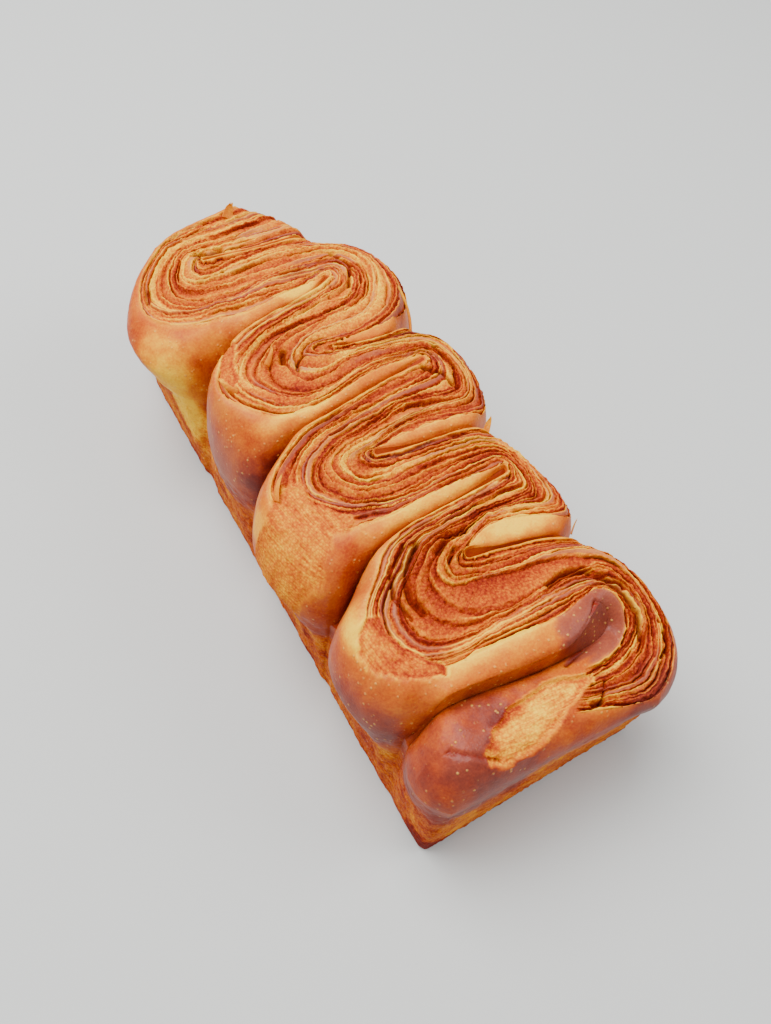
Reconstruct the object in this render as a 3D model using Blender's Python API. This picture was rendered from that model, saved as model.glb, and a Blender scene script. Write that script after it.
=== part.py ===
"""Laminated brioche loaf.

One long ribbon of layered dough stands on edge in a loaf tin, folded to and fro across it nine times.
Baking lifts it out of the tin, so the folds swell over the rim as rounded lobes, four down each side, the
cut layers show as ridges along the top, and the tin leaves flat walls and a flat base below.
The loaf is one solid. x runs across it, y along it from the near end, and z up.
"""

import math

import bmesh
import bpy
import numpy as np

# The tin, in millimetres. x is 0 at its left wall, and y near its near wall.
TIN_WIDTH = 90.0
TIN_LENGTH = 246.0
TIN_NEAR = -2.0
TIN_CORNER = 2.5  # radius of its upright corners
SLACK_CORNER = 20.0  # the far right corner, which the ribbon's end doesn't fill
TIN_FLARE = 0.05  # how far a wall leans out for each unit of height
BASE_ROUND = 1.8  # the rounded edge round the base

# Heights, in millimetres.
CROWNS = (64, 73, 75, 76, 77, 77, 76, 75, 74)  # the top of each pass, from the near end
LEFT_BULGES = (51, 51, 49, 62)  # where each left lobe is widest
RIGHT_BULGE = 57.0
MOUTH_HEIGHT = 46.0  # the groove between two lobes, at the loaf's side
END_HEIGHT = 48.0  # where the ribbon's two ends are widest
EDGE_FALL = 3.0  # how far the top falls towards the loaf's sides

# Grooves between passes of the ribbon. Each one is a cubic curve from its mouth, at the loaf's side, to
# its tip, where the ribbon turns back. The left ones open on the left side, and the right ones on the right.
LEFT_GROOVES = (
    ((4, 21.5), (24, 28), (52, 11), (74, 22.5)),
    ((3, 65), (25, 81), (51, 76.5), (74, 80)),
    ((4, 120), (24, 128.5), (52, 129.5), (75, 134)),
    ((8, 171), (26, 179.5), (48, 178), (64, 187.5)),
)
RIGHT_GROOVES = (
    ((86, 48.5), (74, 54), (60, 57), (47, 59.5)),
    ((83, 98.5), (70, 101.5), (55, 102), (40, 106)),
    ((82, 153), (72, 149.5), (62, 149), (50, 153)),
    ((71.5, 210.5), (60, 216), (42, 215.5), (27, 217)),
)
# The outlines of the lobes, from one groove's mouth to the next.
LEFT_LOBES = (
    ((4, 21.5), (-11, 28), (-11, 60), (3, 65)),
    ((3, 65), (-13.5, 76), (-13.5, 114), (4, 120)),
    ((4, 120), (-8, 132), (-6, 161), (8, 171)),
    ((8, 171), (-18, 178), (-22, 212), (12, 235)),
)
RIGHT_LOBES = (
    ((76, -7.5), (105, -3), (104, 39), (86, 48.5)),
    ((86, 48.5), (93, 57), (93.5, 78), (83, 98.5)),
    ((83, 98.5), (96.5, 113), (101.5, 147), (82, 153)),
    ((82, 153), (97, 168), (106, 203), (71.5, 210.5)),
)
FRONT_EDGE = ((5, -2.5), (20, -4.5), (50, -3), (76, -7.5))  # the first pass's outer face
FAR_EDGE = ((12, 235), (24, 240), (36, 243.5), (51, 246))  # the last pass's outer face

GROOVE_GAP = 0.9  # the two sides of a groove never quite meet
LEFT_DEPTHS = (2.8, 3.5, 3.5, 3.5)
RIGHT_DEPTHS = (3.5, 3.0, 3.0, 2.5)
TIP_DEPTH = 2.0
LEFT_TIP_RADII = (3.0, 1.2, 1.2, 1.2)
RIGHT_TIP_RADII = (1.4, 1.2, 1.2, 1.2)

# The smooth skin rolls over into each groove as a lip: narrow on the pass before the groove, and broad on
# the pass after it. It rolls over the left lobes in a far wider curve. On the right lobes the layers show
# over most of the roll.
LEFT_LIPS_BEFORE = (8, 1.2, 1.2, 1.2)
LEFT_LIPS_AFTER = (9, 4.5, 4.6, 4.6)
RIGHT_LIPS_BEFORE = (1.2, 1.2, 1.2, 1.2)
RIGHT_LIPS_AFTER = (8, 4, 4, 1.6)
LEFT_ROLLS = ((15, 12), (21, 6), (17, 5), (15, 4))  # at the near and the far side of each left lobe
RIGHT_ROLL = 7.0
RIGHT_SKIN = 1.4
LIP_FULLNESS = 2.5  # 2 rolls over as an ellipse; more stays flat for longer
FRONT_ROLL = 13.0
FAR_ROLL = 5.0
NEAR_END_ROLL = 14.0
FAR_END_ROLL = 6.0
NEAR_END_SWELL = 6.0  # how far the ribbon's ends swell past a straight cut
FAR_END_SWELL = 12.0
LEFT_MOUTH_SHARES = ((0.16, 0.2), (0.28, 0.4), (0.28, 0.4), (0.28, 0.4))  # the share of a left groove's
# run over which its lip widens into the lobe's curve, before the groove and after it
RIGHT_MOUTH_SHARE = 0.2

# The layers, as ridges along the ribbon.
RIDGES = 6
RIDGE_HEIGHT = 0.8
UNEVENNESS = 1.2

# How finely the ribbon is divided.
LEFT_ROWS = 5  # beside each left lobe, between the middle of the pass and the groove's mouth
MIDDLE_ROWS = 5
RIGHT_ROWS = 3
PASS_ROWS = LEFT_ROWS + MIDDLE_ROWS + RIGHT_ROWS
TURN_ROWS = 10
TIP_ROOM = 5.0  # the last millimetres of a groove, round which the rows fan out
SKIN_COLUMNS = 4
LAYER_COLUMNS = 2 * RIDGES
MOUTH_CROWDING = 1.4  # how much closer the rows lie towards the left grooves' mouths

# The side wall, from the lobes down. Each ring is a height, and how much of the lobes' swelling and of
# the hollows between them is left there.
WALL_RINGS = (
    (0.92, 0.95, 0.92),
    (0.83, 0.62, 0.80),
    (0.74, 0.25, 0.66),
    (0.62, 0.05, 0.50),
    (0.35, 0.0, 0.30),
    (None, 0.0, 0.15),  # just above the rounded edge of the base
    (0.0, 0.0, 0.15),
)

CRUST_COLOUR = (0.52, 0.19, 0.055, 1.0)
CRUST_ROUGHNESS = 0.5


def smooth(x):
    """0 below 0, 1 above 1, and a soft step between."""
    x = np.clip(x, 0.0, 1.0)
    return x * x * (3 - 2 * x)


def cubic(controls, v):
    """Points of a cubic curve at the shares v of its run."""
    a, b, c, d = np.asarray(controls, float)
    v = np.asarray(v, float)[:, None]
    return (1 - v) ** 3 * a + 3 * v * (1 - v) ** 2 * b + 3 * v * v * (1 - v) * c + v**3 * d


def groove_sides(controls, tip_radius, v):
    """The near and far side of a groove at the shares v from its mouth. It opens a little at its tip."""
    middle = cubic(controls, v)
    step = 1e-3
    ahead = cubic(controls, np.minimum(v + step, 1.0)) - cubic(controls, np.maximum(v - step, 0.0))
    ahead /= np.linalg.norm(ahead, axis=1)[:, None]
    across = np.stack([-ahead[:, 1], ahead[:, 0]], 1)
    across *= np.sign(across[:, 1:2])
    half = GROOVE_GAP / 2 + (tip_radius - GROOVE_GAP / 2) * smooth((v - 0.75) / 0.25)
    return middle - across * half[:, None], middle + across * half[:, None]


def shares_at(controls, x):
    """The shares of a groove's run at which it reaches the given x."""
    v = np.linspace(0, 1, 201)
    reached = cubic(controls, v)[:, 0]
    order = np.argsort(reached)
    return np.interp(x, reached[order], v[order])


def paired_rows(left_groove, right_groove):
    """For each row of a pass, its share of the left groove's run and of the right groove's. Rows run
    straight across the middle of the pass, and fan out round the tip of each groove."""
    left_mouth, left_tip = left_groove[0][0], left_groove[-1][0]
    right_mouth, right_tip = right_groove[0][0], right_groove[-1][0]
    stops = (0, LEFT_ROWS, LEFT_ROWS + MIDDLE_ROWS, PASS_ROWS)
    near, far = right_tip + TIP_ROOM, left_tip - TIP_ROOM
    rows = np.arange(PASS_ROWS + 1, dtype=float)
    beside_lobe = rows < LEFT_ROWS
    rows[beside_lobe] = LEFT_ROWS * (rows[beside_lobe] / LEFT_ROWS) ** MOUTH_CROWDING
    on_left = np.interp(rows, stops, (left_mouth, near, far, left_tip))
    on_right = np.interp(rows, stops, (right_tip, near, far, right_mouth))
    return shares_at(left_groove, on_left), shares_at(right_groove, on_right)


def groove_tip(controls, tip_radius, share):
    """Points round the tip of a groove, from its near side to its far side."""
    end = cubic(controls, [1.0])[0]
    ahead = end - cubic(controls, [0.999])[0]
    ahead /= np.linalg.norm(ahead)
    across = np.array([-ahead[1], ahead[0]])
    across *= math.copysign(1.0, across[1])
    angle = np.pi * np.asarray(share)[:, None]
    return end + tip_radius * (-across * np.cos(angle) + ahead * np.sin(angle))


def lobe(controls, start, end, share):
    """The outline of a lobe, at even steps, from one groove's mouth to the next."""
    controls = np.array([start, controls[1], controls[2], end], float)
    v = np.linspace(0, 1, 201)
    curve = cubic(controls, v)
    run = np.concatenate([[0], np.cumsum(np.linalg.norm(np.diff(curve, axis=0), axis=1))])
    return cubic(controls, np.interp(share * run[-1], run, v))


def seam_values(v, mouth_share, lip, tip_lip, roll, depth, crown):
    """Beside a groove, at the shares v from its mouth: the width of the roll, the lowest height, and how
    much it is a lobe's roll rather than a groove's lip."""
    open_share = smooth(1 - v / mouth_share)
    width = lip + (tip_lip - lip) * smooth((v - 0.7) / 0.3) + (roll - lip) * open_share
    floor = crown - depth + (depth - TIP_DEPTH) * smooth((v - 0.7) / 0.3)
    return width, floor + (MOUTH_HEIGHT - floor) * open_share, open_share


def ribbon():
    """The ribbon's rows from its near end. Each row runs from face A, on the outside of the left lobes,
    to face B, on the outside of the right ones."""
    names = ("a", "b", "a_roll", "b_roll", "b_skin", "a_floor", "b_floor", "a_lobe", "b_lobe", "crown")
    rows = {name: [] for name in names}
    marks = []

    def add(skip_first, **values):
        count = len(values["a"])
        for name in names:
            value = np.broadcast_to(values[name], values["a"].shape if name in "ab" else (count,))
            rows[name].extend(value[1:] if skip_first else value)

    share = np.linspace(0, 1, TURN_ROWS + 1)
    last = len(LEFT_GROOVES)
    for k in range(2 * last + 1):
        rightward = k % 2 == 0
        crown = np.full(PASS_ROWS + 1, float(CROWNS[k]))
        left = k // 2 if rightward else (k - 1) // 2
        right = k // 2 - 1 if rightward else (k - 1) // 2
        a_share, b_share = paired_rows(LEFT_GROOVES[min(left, last - 1)], RIGHT_GROOVES[max(right, 0)])
        if not rightward:
            a_share, b_share = a_share[::-1], b_share[::-1]
        if left < last:
            near, far = groove_sides(LEFT_GROOVES[left], LEFT_TIP_RADII[left], a_share)
            lips = LEFT_LIPS_BEFORE if rightward else LEFT_LIPS_AFTER
            tip_lip = LEFT_LIPS_BEFORE[left]
            roll = FRONT_ROLL if k == 0 else LEFT_ROLLS[left - 1][1] if rightward else LEFT_ROLLS[left][0]
            mouth_share = LEFT_MOUTH_SHARES[left][0 if rightward else 1]
            depth = LEFT_DEPTHS[left]
            a_roll, a_floor, a_lobe = seam_values(
                a_share, mouth_share, lips[left], tip_lip, roll, depth, crown
            )
            a = near if rightward else far
        else:
            a = cubic(FAR_EDGE, 1 - b_share)
            a_roll = FAR_ROLL + (LEFT_ROLLS[-1][1] - FAR_ROLL) * b_share**2
            a_floor, a_lobe = LEFT_BULGES[-1], 1.0
        if right >= 0:
            near, far = groove_sides(RIGHT_GROOVES[right], RIGHT_TIP_RADII[right], b_share)
            lips = RIGHT_LIPS_AFTER if rightward else RIGHT_LIPS_BEFORE
            tip_lip = RIGHT_LIPS_BEFORE[right]
            depth = RIGHT_DEPTHS[right]
            b_roll, b_floor, b_lobe = seam_values(
                b_share, RIGHT_MOUTH_SHARE, lips[right], tip_lip, RIGHT_ROLL, depth, crown
            )
            b_skin = b_roll + (RIGHT_SKIN - b_roll) * b_lobe
            b = far if rightward else near
        else:
            b = cubic(FRONT_EDGE, a_share)
            b_roll = FRONT_ROLL + (RIGHT_ROLL - FRONT_ROLL) * a_share
            b_skin = FRONT_ROLL + (RIGHT_SKIN - FRONT_ROLL) * smooth(a_share * 1.4 - 0.4)
            b_floor = END_HEIGHT + (RIGHT_BULGE - END_HEIGHT) * a_share
            b_lobe = 1.0
        add(k > 0, a=a, b=b, a_roll=a_roll, b_roll=b_roll, b_skin=b_skin, a_floor=a_floor, b_floor=b_floor,
            a_lobe=a_lobe, b_lobe=b_lobe, crown=crown)
        if k == 2 * last:
            break
        crown = CROWNS[k] + (CROWNS[k + 1] - CROWNS[k]) * smooth(share)
        side = np.sin(np.pi * share) ** 0.5
        if rightward:
            before = rows["b"][-1]
            after = groove_sides(RIGHT_GROOVES[left], RIGHT_TIP_RADII[left], np.zeros(1))[0][0]
            a = groove_tip(LEFT_GROOVES[left], LEFT_TIP_RADII[left], share)
            b = lobe(RIGHT_LOBES[left], before, after, share)
            start_floor = rows["b_floor"][-1]
            ends_floor = start_floor + (MOUTH_HEIGHT - start_floor) * share
            add(True, a=a, b=b, a_roll=LEFT_LIPS_BEFORE[left], b_roll=RIGHT_ROLL, b_skin=RIGHT_SKIN,
                a_floor=crown - TIP_DEPTH, b_floor=ends_floor + (RIGHT_BULGE - ends_floor) * side,
                a_lobe=0.0, b_lobe=1.0, crown=crown)
        else:
            before = rows["a"][-1]
            if left + 1 < last:
                after = groove_sides(LEFT_GROOVES[left + 1], LEFT_TIP_RADII[left + 1], np.zeros(1))[0][0]
                end_floor = MOUTH_HEIGHT
            else:
                after, end_floor = np.array(FAR_EDGE[0], float), LEFT_BULGES[-1]
            a = lobe(LEFT_LOBES[left], before, after, share)
            b = groove_tip(RIGHT_GROOVES[left], RIGHT_TIP_RADII[left], share)
            ends_floor = MOUTH_HEIGHT + (end_floor - MOUTH_HEIGHT) * share
            near_roll, far_roll = LEFT_ROLLS[left]
            a_roll = near_roll + (far_roll - near_roll) * smooth(share * 1.5 - 0.15)
            add(True, a=a, b=b, a_roll=a_roll, b_roll=RIGHT_LIPS_BEFORE[left],
                b_skin=RIGHT_LIPS_BEFORE[left],
                a_floor=ends_floor + (LEFT_BULGES[left] - ends_floor) * side, b_floor=crown - TIP_DEPTH,
                a_lobe=1.0, b_lobe=0.0, crown=crown)
    span = PASS_ROWS + TURN_ROWS
    for j in range(last):
        first = 2 * j * span
        marks.append((True, first, first + PASS_ROWS + span))
        marks.append((False, first + span, first + span + PASS_ROWS + span))
    return {name: np.array(value, float) for name, value in rows.items()}, marks


def unevenness(x, y):
    """The gentle rise and fall of the baked top."""
    return UNEVENNESS * (np.sin(x / 7.3 + y / 21) + np.sin(x / 17 - y / 9.1 + 1.3)) / 2


def lift(away, roll, fullness):
    """How far the top has risen from its edge, from 0 to 1, at a distance from it."""
    fall = np.clip(1 - away / roll, 0, 1) ** fullness
    return (1 - fall) ** (1 / fullness)


def top_points(rows):
    """The points of the top, as an array of rows and columns, from face A to face B."""
    a, b = rows["a"], rows["b"]
    width = np.linalg.norm(b - a, axis=1)
    a_roll, b_roll, b_skin = rows["a_roll"], rows["b_roll"], rows["b_skin"]
    fit = np.minimum(1.0, 0.9 * width / (a_roll + b_skin))
    along = (b - a) / width[:, None]
    inner_a = a + along * (a_roll * fit)[:, None]
    inner_b = b - along * (b_skin * fit)[:, None]
    roll = 1 - np.cos(np.linspace(0, np.pi / 2, SKIN_COLUMNS + 1))
    share = np.linspace(0, 1, LAYER_COLUMNS + 1)[None, 1:-1]
    bare = np.clip(1 - b_skin / b_roll, 0, 1)[:, None]
    share = share + (1 - (1 - share) ** 1.7 - share) * bare
    parts = [
        a[:, None, :] + (inner_a - a)[:, None, :] * roll[None, :, None],
        inner_a[:, None, :] + (inner_b - inner_a)[:, None, :] * share[:, :, None],
        b[:, None, :] + (inner_b - b)[:, None, :] * roll[None, ::-1, None],
    ]
    points = np.concatenate(parts, 1)

    # Each side rolls over to its own lowest height. The two ends do too, and swell past a straight cut.
    fit = np.minimum(1.0, 0.98 * width / (a_roll + b_roll))
    sides = []
    for edge, wide, lobe_share, floor in (
        (a, a_roll * fit, rows["a_lobe"], rows["a_floor"]),
        (b, b_roll * fit, rows["b_lobe"], rows["b_floor"]),
    ):
        away = np.linalg.norm(points - edge[:, None, :], axis=2)
        fullness = LIP_FULLNESS + (2 - LIP_FULLNESS) * lobe_share
        sides.append((lift(away, wide[:, None], fullness[:, None]), floor[:, None]))
    ends = ((0, (-1.0, -0.1), NEAR_END_SWELL, NEAR_END_ROLL), (-1, (0.87, 0.5), FAR_END_SWELL, FAR_END_ROLL))
    across = np.linalg.norm(points - a[:, None, :], axis=2) / width[:, None]
    for end, way, reach, end_roll in ends:
        away = np.linalg.norm(points - points[end], axis=2)
        away[PASS_ROWS // 2 : -PASS_ROWS // 2] = end_roll
        swell = reach * np.sin(np.pi * np.clip(across, 0, 1)) ** 0.8 * np.clip(1 - away / end_roll, 0, 1)
        sides.append((lift(away, end_roll, 2), END_HEIGHT))
        points = points + swell[:, :, None] * np.array(way)
    total = sum(1 - risen for risen, _ in sides)
    floor = sum((1 - risen) * low for risen, low in sides) / np.maximum(total, 1e-9)
    risen = np.prod([risen for risen, _ in sides], axis=0)
    from_middle = (points[:, :, 0] - TIN_WIDTH / 2) / (TIN_WIDTH / 2)
    crown = rows["crown"][:, None] - EDGE_FALL * from_middle**4 + unevenness(points[:, :, 0], points[:, :, 1])
    height = np.where(total > 1e-6, floor + (crown - floor) * risen, crown)
    ridge = RIDGE_HEIGHT * (np.arange(LAYER_COLUMNS + 1) % 2)
    height[:, SKIN_COLUMNS : SKIN_COLUMNS + LAYER_COLUMNS + 1] -= ridge[None, :]
    return np.concatenate([points, height[:, :, None]], 2)


def tin_point(x, y, grow):
    """The point of the tin's wall straight out from a point of the lobes' outline."""
    middle_x = TIN_WIDTH / 2
    anchor = np.array([middle_x, min(max(y, middle_x), TIN_LENGTH - middle_x)])
    low = np.array([-grow, TIN_NEAR - grow])
    high = np.array([TIN_WIDTH + grow, TIN_LENGTH + grow])
    way = np.array([x, y]) - anchor
    steps = [((high if w > 0 else low)[i] - anchor[i]) / w for i, w in enumerate(way) if abs(w) > 1e-9]
    hit = anchor + way * min(steps)
    radius = SLACK_CORNER if way[0] > 0 and way[1] > 0 else TIN_CORNER
    inner = np.clip(hit, low + radius, high - radius)
    out = hit - inner
    if abs(out[0]) > 1e-9 and abs(out[1]) > 1e-9:
        hit = inner + out * radius / np.linalg.norm(out)
    return hit


def outline_rows(rows, marks, columns):
    """The vertices round the top's edge as (row, column), anticlockwise from above."""
    end, b_column = len(rows["a"]) - 1, columns - 1
    left = sorted(m[1:] for m in marks if m[0])
    right = sorted(m[1:] for m in marks if not m[0])
    loop = [(0, c) for c in range(columns)]
    start = 1
    for first, last in right:
        loop += [(r, b_column) for r in range(start, first + 1)]
        start = last
    loop += [(r, b_column) for r in range(start, end + 1)]
    loop += [(end, c) for c in range(b_column - 1, -1, -1)]
    stop = end - 1
    for first, last in reversed(left):
        loop += [(r, 0) for r in range(stop, last - 1, -1)]
        stop = first
    return loop


def wall_rings(edge):
    """The rings of the side wall below the top's edge, down to the base."""
    rings = []
    for share, swell_left, hollow_left in WALL_RINGS:
        ring = []
        for x, y, z in edge:
            height = BASE_ROUND if share is None else z * share
            grow = TIN_FLARE * height - (BASE_ROUND if share == 0.0 else 0.0)
            on_tin = tin_point(x, y, grow)
            anchor = np.array([TIN_WIDTH / 2, min(max(y, TIN_WIDTH / 2), TIN_LENGTH - TIN_WIDTH / 2)])
            outside = np.linalg.norm([x, y] - anchor) - np.linalg.norm(on_tin - anchor)
            left_over = hollow_left + (swell_left - hollow_left) * smooth(outside / 3)
            ring.append((*(on_tin + (np.array([x, y]) - on_tin) * left_over), height))
        rings.append(ring)
    return rings


def build_loaf(collection):
    """The whole loaf as one closed surface."""
    rows, marks = ribbon()
    points = top_points(rows)
    count, columns = points.shape[:2]
    mesh = bmesh.new()
    top = [[mesh.verts.new(point) for point in row] for row in points]
    for r in range(count - 1):
        for c in range(columns - 1):
            mesh.faces.new((top[r][c], top[r][c + 1], top[r + 1][c + 1], top[r + 1][c]))
    for on_left, first, last in marks:
        c = 0 if on_left else columns - 1
        while first + 1 < last:
            corners = [top[first][c], top[first + 1][c], top[last - 1][c], top[last][c]]
            if first + 1 == last - 1:
                corners.pop(2)
            mesh.faces.new(corners)
            first += 1
            last -= 1
    loop = outline_rows(rows, marks, columns)
    above = [top[r][c] for r, c in loop]
    for ring in wall_rings([tuple(points[r][c]) for r, c in loop]):
        below = [mesh.verts.new(point) for point in ring]
        for i in range(len(loop)):
            j = (i + 1) % len(loop)
            mesh.faces.new((above[i], above[j], below[j], below[i]))
        above = below
    mesh.faces.new(above)
    bmesh.ops.recalc_face_normals(mesh, faces=mesh.faces)
    for face in mesh.faces:
        face.smooth = True
    low = np.min([v.co for v in mesh.verts], axis=0)
    high = np.max([v.co for v in mesh.verts], axis=0)
    bmesh.ops.translate(mesh, verts=mesh.verts, vec=(-(low[0] + high[0]) / 2, -(low[1] + high[1]) / 2, 0))
    bmesh.ops.scale(mesh, verts=mesh.verts, vec=(0.001, 0.001, 0.001))
    data = bpy.data.meshes.new("brioche_loaf")
    mesh.to_mesh(data)
    mesh.free()
    loaf = bpy.data.objects.new("brioche_loaf", data)
    collection.objects.link(loaf)
    return loaf


def crust_material():
    """Egg-washed crust, baked to a golden brown."""
    material = bpy.data.materials.new("baked_crust")
    material.use_nodes = True
    shader = material.node_tree.nodes["Principled BSDF"]
    shader.inputs["Base Color"].default_value = CRUST_COLOUR
    shader.inputs["Roughness"].default_value = CRUST_ROUGHNESS
    return material


def main():
    for item in list(bpy.data.objects):
        bpy.data.objects.remove(item, do_unlink=True)
    collection = bpy.data.collections.new("laminated_brioche_loaf")
    bpy.context.scene.collection.children.link(collection)
    loaf = build_loaf(collection)
    loaf.data.materials.append(crust_material())


main()
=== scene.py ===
"""A laminated brioche loaf, dressed over its plain solid.

The dough is one long ribbon of layers, folded to and fro across a tin. Everything is worked out in
millimetres from the tin's near left corner: x across the loaf, y along it, z up. It is moved to the row
frame, in metres, when a mesh is made.
"""

import math

import bpy
import numpy as np
from mathutils import Matrix, Vector


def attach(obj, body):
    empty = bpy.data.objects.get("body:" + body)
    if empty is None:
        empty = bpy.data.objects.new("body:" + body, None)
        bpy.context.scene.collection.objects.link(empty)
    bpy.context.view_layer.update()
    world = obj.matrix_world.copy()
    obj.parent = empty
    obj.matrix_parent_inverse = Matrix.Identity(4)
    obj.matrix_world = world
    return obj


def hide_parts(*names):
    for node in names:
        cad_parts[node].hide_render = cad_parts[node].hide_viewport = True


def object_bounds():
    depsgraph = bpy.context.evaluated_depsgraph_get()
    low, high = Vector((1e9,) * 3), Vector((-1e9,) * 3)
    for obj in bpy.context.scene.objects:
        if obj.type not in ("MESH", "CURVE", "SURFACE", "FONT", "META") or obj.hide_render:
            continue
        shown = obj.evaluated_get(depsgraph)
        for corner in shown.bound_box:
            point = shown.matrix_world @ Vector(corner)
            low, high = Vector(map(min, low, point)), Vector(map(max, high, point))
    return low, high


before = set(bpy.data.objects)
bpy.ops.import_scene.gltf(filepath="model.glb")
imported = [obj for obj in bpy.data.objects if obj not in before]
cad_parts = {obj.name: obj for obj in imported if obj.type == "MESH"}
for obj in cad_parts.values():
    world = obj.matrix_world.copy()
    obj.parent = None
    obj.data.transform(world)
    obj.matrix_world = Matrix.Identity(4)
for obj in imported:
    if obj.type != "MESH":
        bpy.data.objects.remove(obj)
solid_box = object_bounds()

# The tin, in millimetres.
TIN_WIDTH = 90.0
TIN_LENGTH = 246.0
TIN_NEAR = -2.0
TIN_CORNER = 2.5
SLACK_CORNER = 20.0
TIN_FLARE = 0.05
BASE_ROUND = 1.8

# Heights, in millimetres.
CROWNS = (64, 73, 75, 76, 77, 77, 76, 75, 74)
LEFT_BULGES = (51, 51, 49, 62)
RIGHT_BULGE = 57.0
MOUTH_HEIGHT = 46.0
END_HEIGHT = 48.0
EDGE_FALL = 3.0
UNEVENNESS = 1.2

# Grooves between passes of the ribbon, each from its mouth at the loaf's side to its tip.
LEFT_GROOVES = (
    ((4, 21.5), (24, 28), (52, 11), (74, 22.5)),
    ((3, 65), (25, 81), (51, 76.5), (74, 80)),
    ((4, 120), (24, 128.5), (52, 129.5), (75, 134)),
    ((8, 171), (26, 179.5), (48, 178), (64, 187.5)),
)
RIGHT_GROOVES = (
    ((86, 48.5), (74, 54), (60, 57), (47, 59.5)),
    ((83, 98.5), (70, 101.5), (55, 102), (40, 106)),
    ((82, 153), (72, 149.5), (62, 149), (50, 153)),
    ((71.5, 210.5), (60, 216), (42, 215.5), (27, 217)),
)
# The outlines of the lobes, from one groove's mouth to the next.
LEFT_LOBES = (
    ((4, 21.5), (-11, 28), (-11, 60), (3, 65)),
    ((3, 65), (-13.5, 76), (-13.5, 114), (4, 120)),
    ((4, 120), (-8, 132), (-6, 161), (8, 171)),
    ((8, 171), (-18, 178), (-22, 212), (12, 235)),
)
RIGHT_LOBES = (
    ((76, -7.5), (105, -3), (104, 39), (86, 48.5)),
    ((86, 48.5), (93, 57), (93.5, 78), (83, 98.5)),
    ((83, 98.5), (96.5, 113), (101.5, 147), (82, 153)),
    ((82, 153), (97, 168), (106, 203), (71.5, 210.5)),
)
FRONT_EDGE = ((5, -2.5), (20, -4.5), (50, -3), (76, -7.5))
FAR_EDGE = ((12, 235), (24, 240), (36, 243.5), (51, 246))
GROOVE_GAP = 0.6
LEFT_DEPTHS = (2.8, 3.5, 3.5, 3.5)
RIGHT_DEPTHS = (3.5, 3.0, 3.0, 2.5)
TIP_DEPTH = 2.0
LEFT_TIP_RADII = (3.0, 0.7, 0.7, 0.7)
RIGHT_TIP_RADII = (1.0, 0.7, 0.7, 0.7)
TIP_ROOM = 5.0

# The smooth skin beside each groove and over the lobes. The top rolls over within that width, except on
# the right lobes, where the layers show over the roll.
LEFT_LIPS_BEFORE = (6, 1.0, 1.0, 1.0)
LEFT_LIPS_AFTER = (9, 4.5, 4.6, 4.6)
RIGHT_LIPS_BEFORE = (1.0, 1.0, 1.0, 1.0)
RIGHT_LIPS_AFTER = (8, 4, 4, 1.6)
LEFT_ROLLS = ((15, 12), (21, 6), (17, 5), (15, 4))  # at the near and the far side of each left lobe
RIGHT_ROLL = 7.0
RIGHT_SKIN = 1.4
LIP_FULLNESS = 2.5  # 2 rolls over as an ellipse; more stays flat for longer
FRONT_ROLL = 13.0
FAR_ROLL = 5.0
NEAR_END_ROLL = 14.0
FAR_END_ROLL = 6.0
NEAR_END_SWELL = 6.0
FAR_END_SWELL = 12.0
LEFT_MOUTH_SHARES = ((0.16, 0.2), (0.28, 0.4), (0.28, 0.4), (0.28, 0.4))  # before a groove and after it
RIGHT_MOUTH_SHARE = 0.2

# How finely the ribbon is rolled out: rows along it, columns across it.
LEFT_ROWS = 68
MIDDLE_ROWS = 40
RIGHT_ROWS = 22
PASS_ROWS = LEFT_ROWS + MIDDLE_ROWS + RIGHT_ROWS
TURN_ROWS = 84
MOUTH_CROWDING = 1.15
SKIN_COLUMNS = 22
LAYER_COLUMNS = 124
WALL_RINGS = 84
BLENDED_RINGS = 14  # rings down the side over which the top's looks fade into the side's
TOP_PIECES = 5

# The layers of dough. The widths are half the width of a gap between two layers and of a layer's crest.
LAYERS = 16
LAYER_SEED = 11
PARTING_WIDTH = 0.28
CREST_WIDTH = 0.24

# The middle of the solid's box seen from above, in millimetres from the tin's corner.
LOAF_MIDDLE = (43.141, 119.676)
# How far inside the top of the solid's box the dressed loaf stays, in metres.
BOX_MARGIN = 2e-5


def smooth(x):
    """0 below 0, 1 above 1, and a soft step between."""
    x = np.clip(x, 0.0, 1.0)
    return x * x * (3 - 2 * x)


def soft_noise(seed, *coordinates):
    """Smooth random values from 0 to 1, one cell to a unit, in one, two or three dimensions."""
    size = 64
    dice = np.random.default_rng(seed).random((size,) * len(coordinates))
    coordinates = np.broadcast_arrays(*coordinates)
    cells = [np.floor(c).astype(int) for c in coordinates]
    shares = [smooth(c - np.floor(c)) for c in coordinates]
    total = 0.0
    for corner in range(2 ** len(coordinates)):
        bits = [(corner >> d) & 1 for d in range(len(coordinates))]
        weight = 1.0
        for bit, share in zip(bits, shares):
            weight = weight * (share if bit else 1 - share)
        total = total + weight * dice[tuple((cell + bit) % size for cell, bit in zip(cells, bits))]
    return total


def cloudy(seed, *coordinates):
    """Smooth random values with finer ones on top, from 0 to 1."""
    fine = [np.asarray(c) * 2.1 + 7.3 for c in coordinates]
    finer = [np.asarray(c) * 4.3 + 3.1 for c in coordinates]
    return (
        soft_noise(seed, *coordinates) * 0.57
        + soft_noise(seed + 1, *fine) * 0.28
        + soft_noise(seed + 2, *finer) * 0.15
    )


# The folded ribbon, seen from above.


def cubic(controls, v):
    """Points of a cubic curve at the shares v of its run."""
    a, b, c, d = np.asarray(controls, float)
    v = np.asarray(v, float)[:, None]
    return (1 - v) ** 3 * a + 3 * v * (1 - v) ** 2 * b + 3 * v * v * (1 - v) * c + v**3 * d


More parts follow.
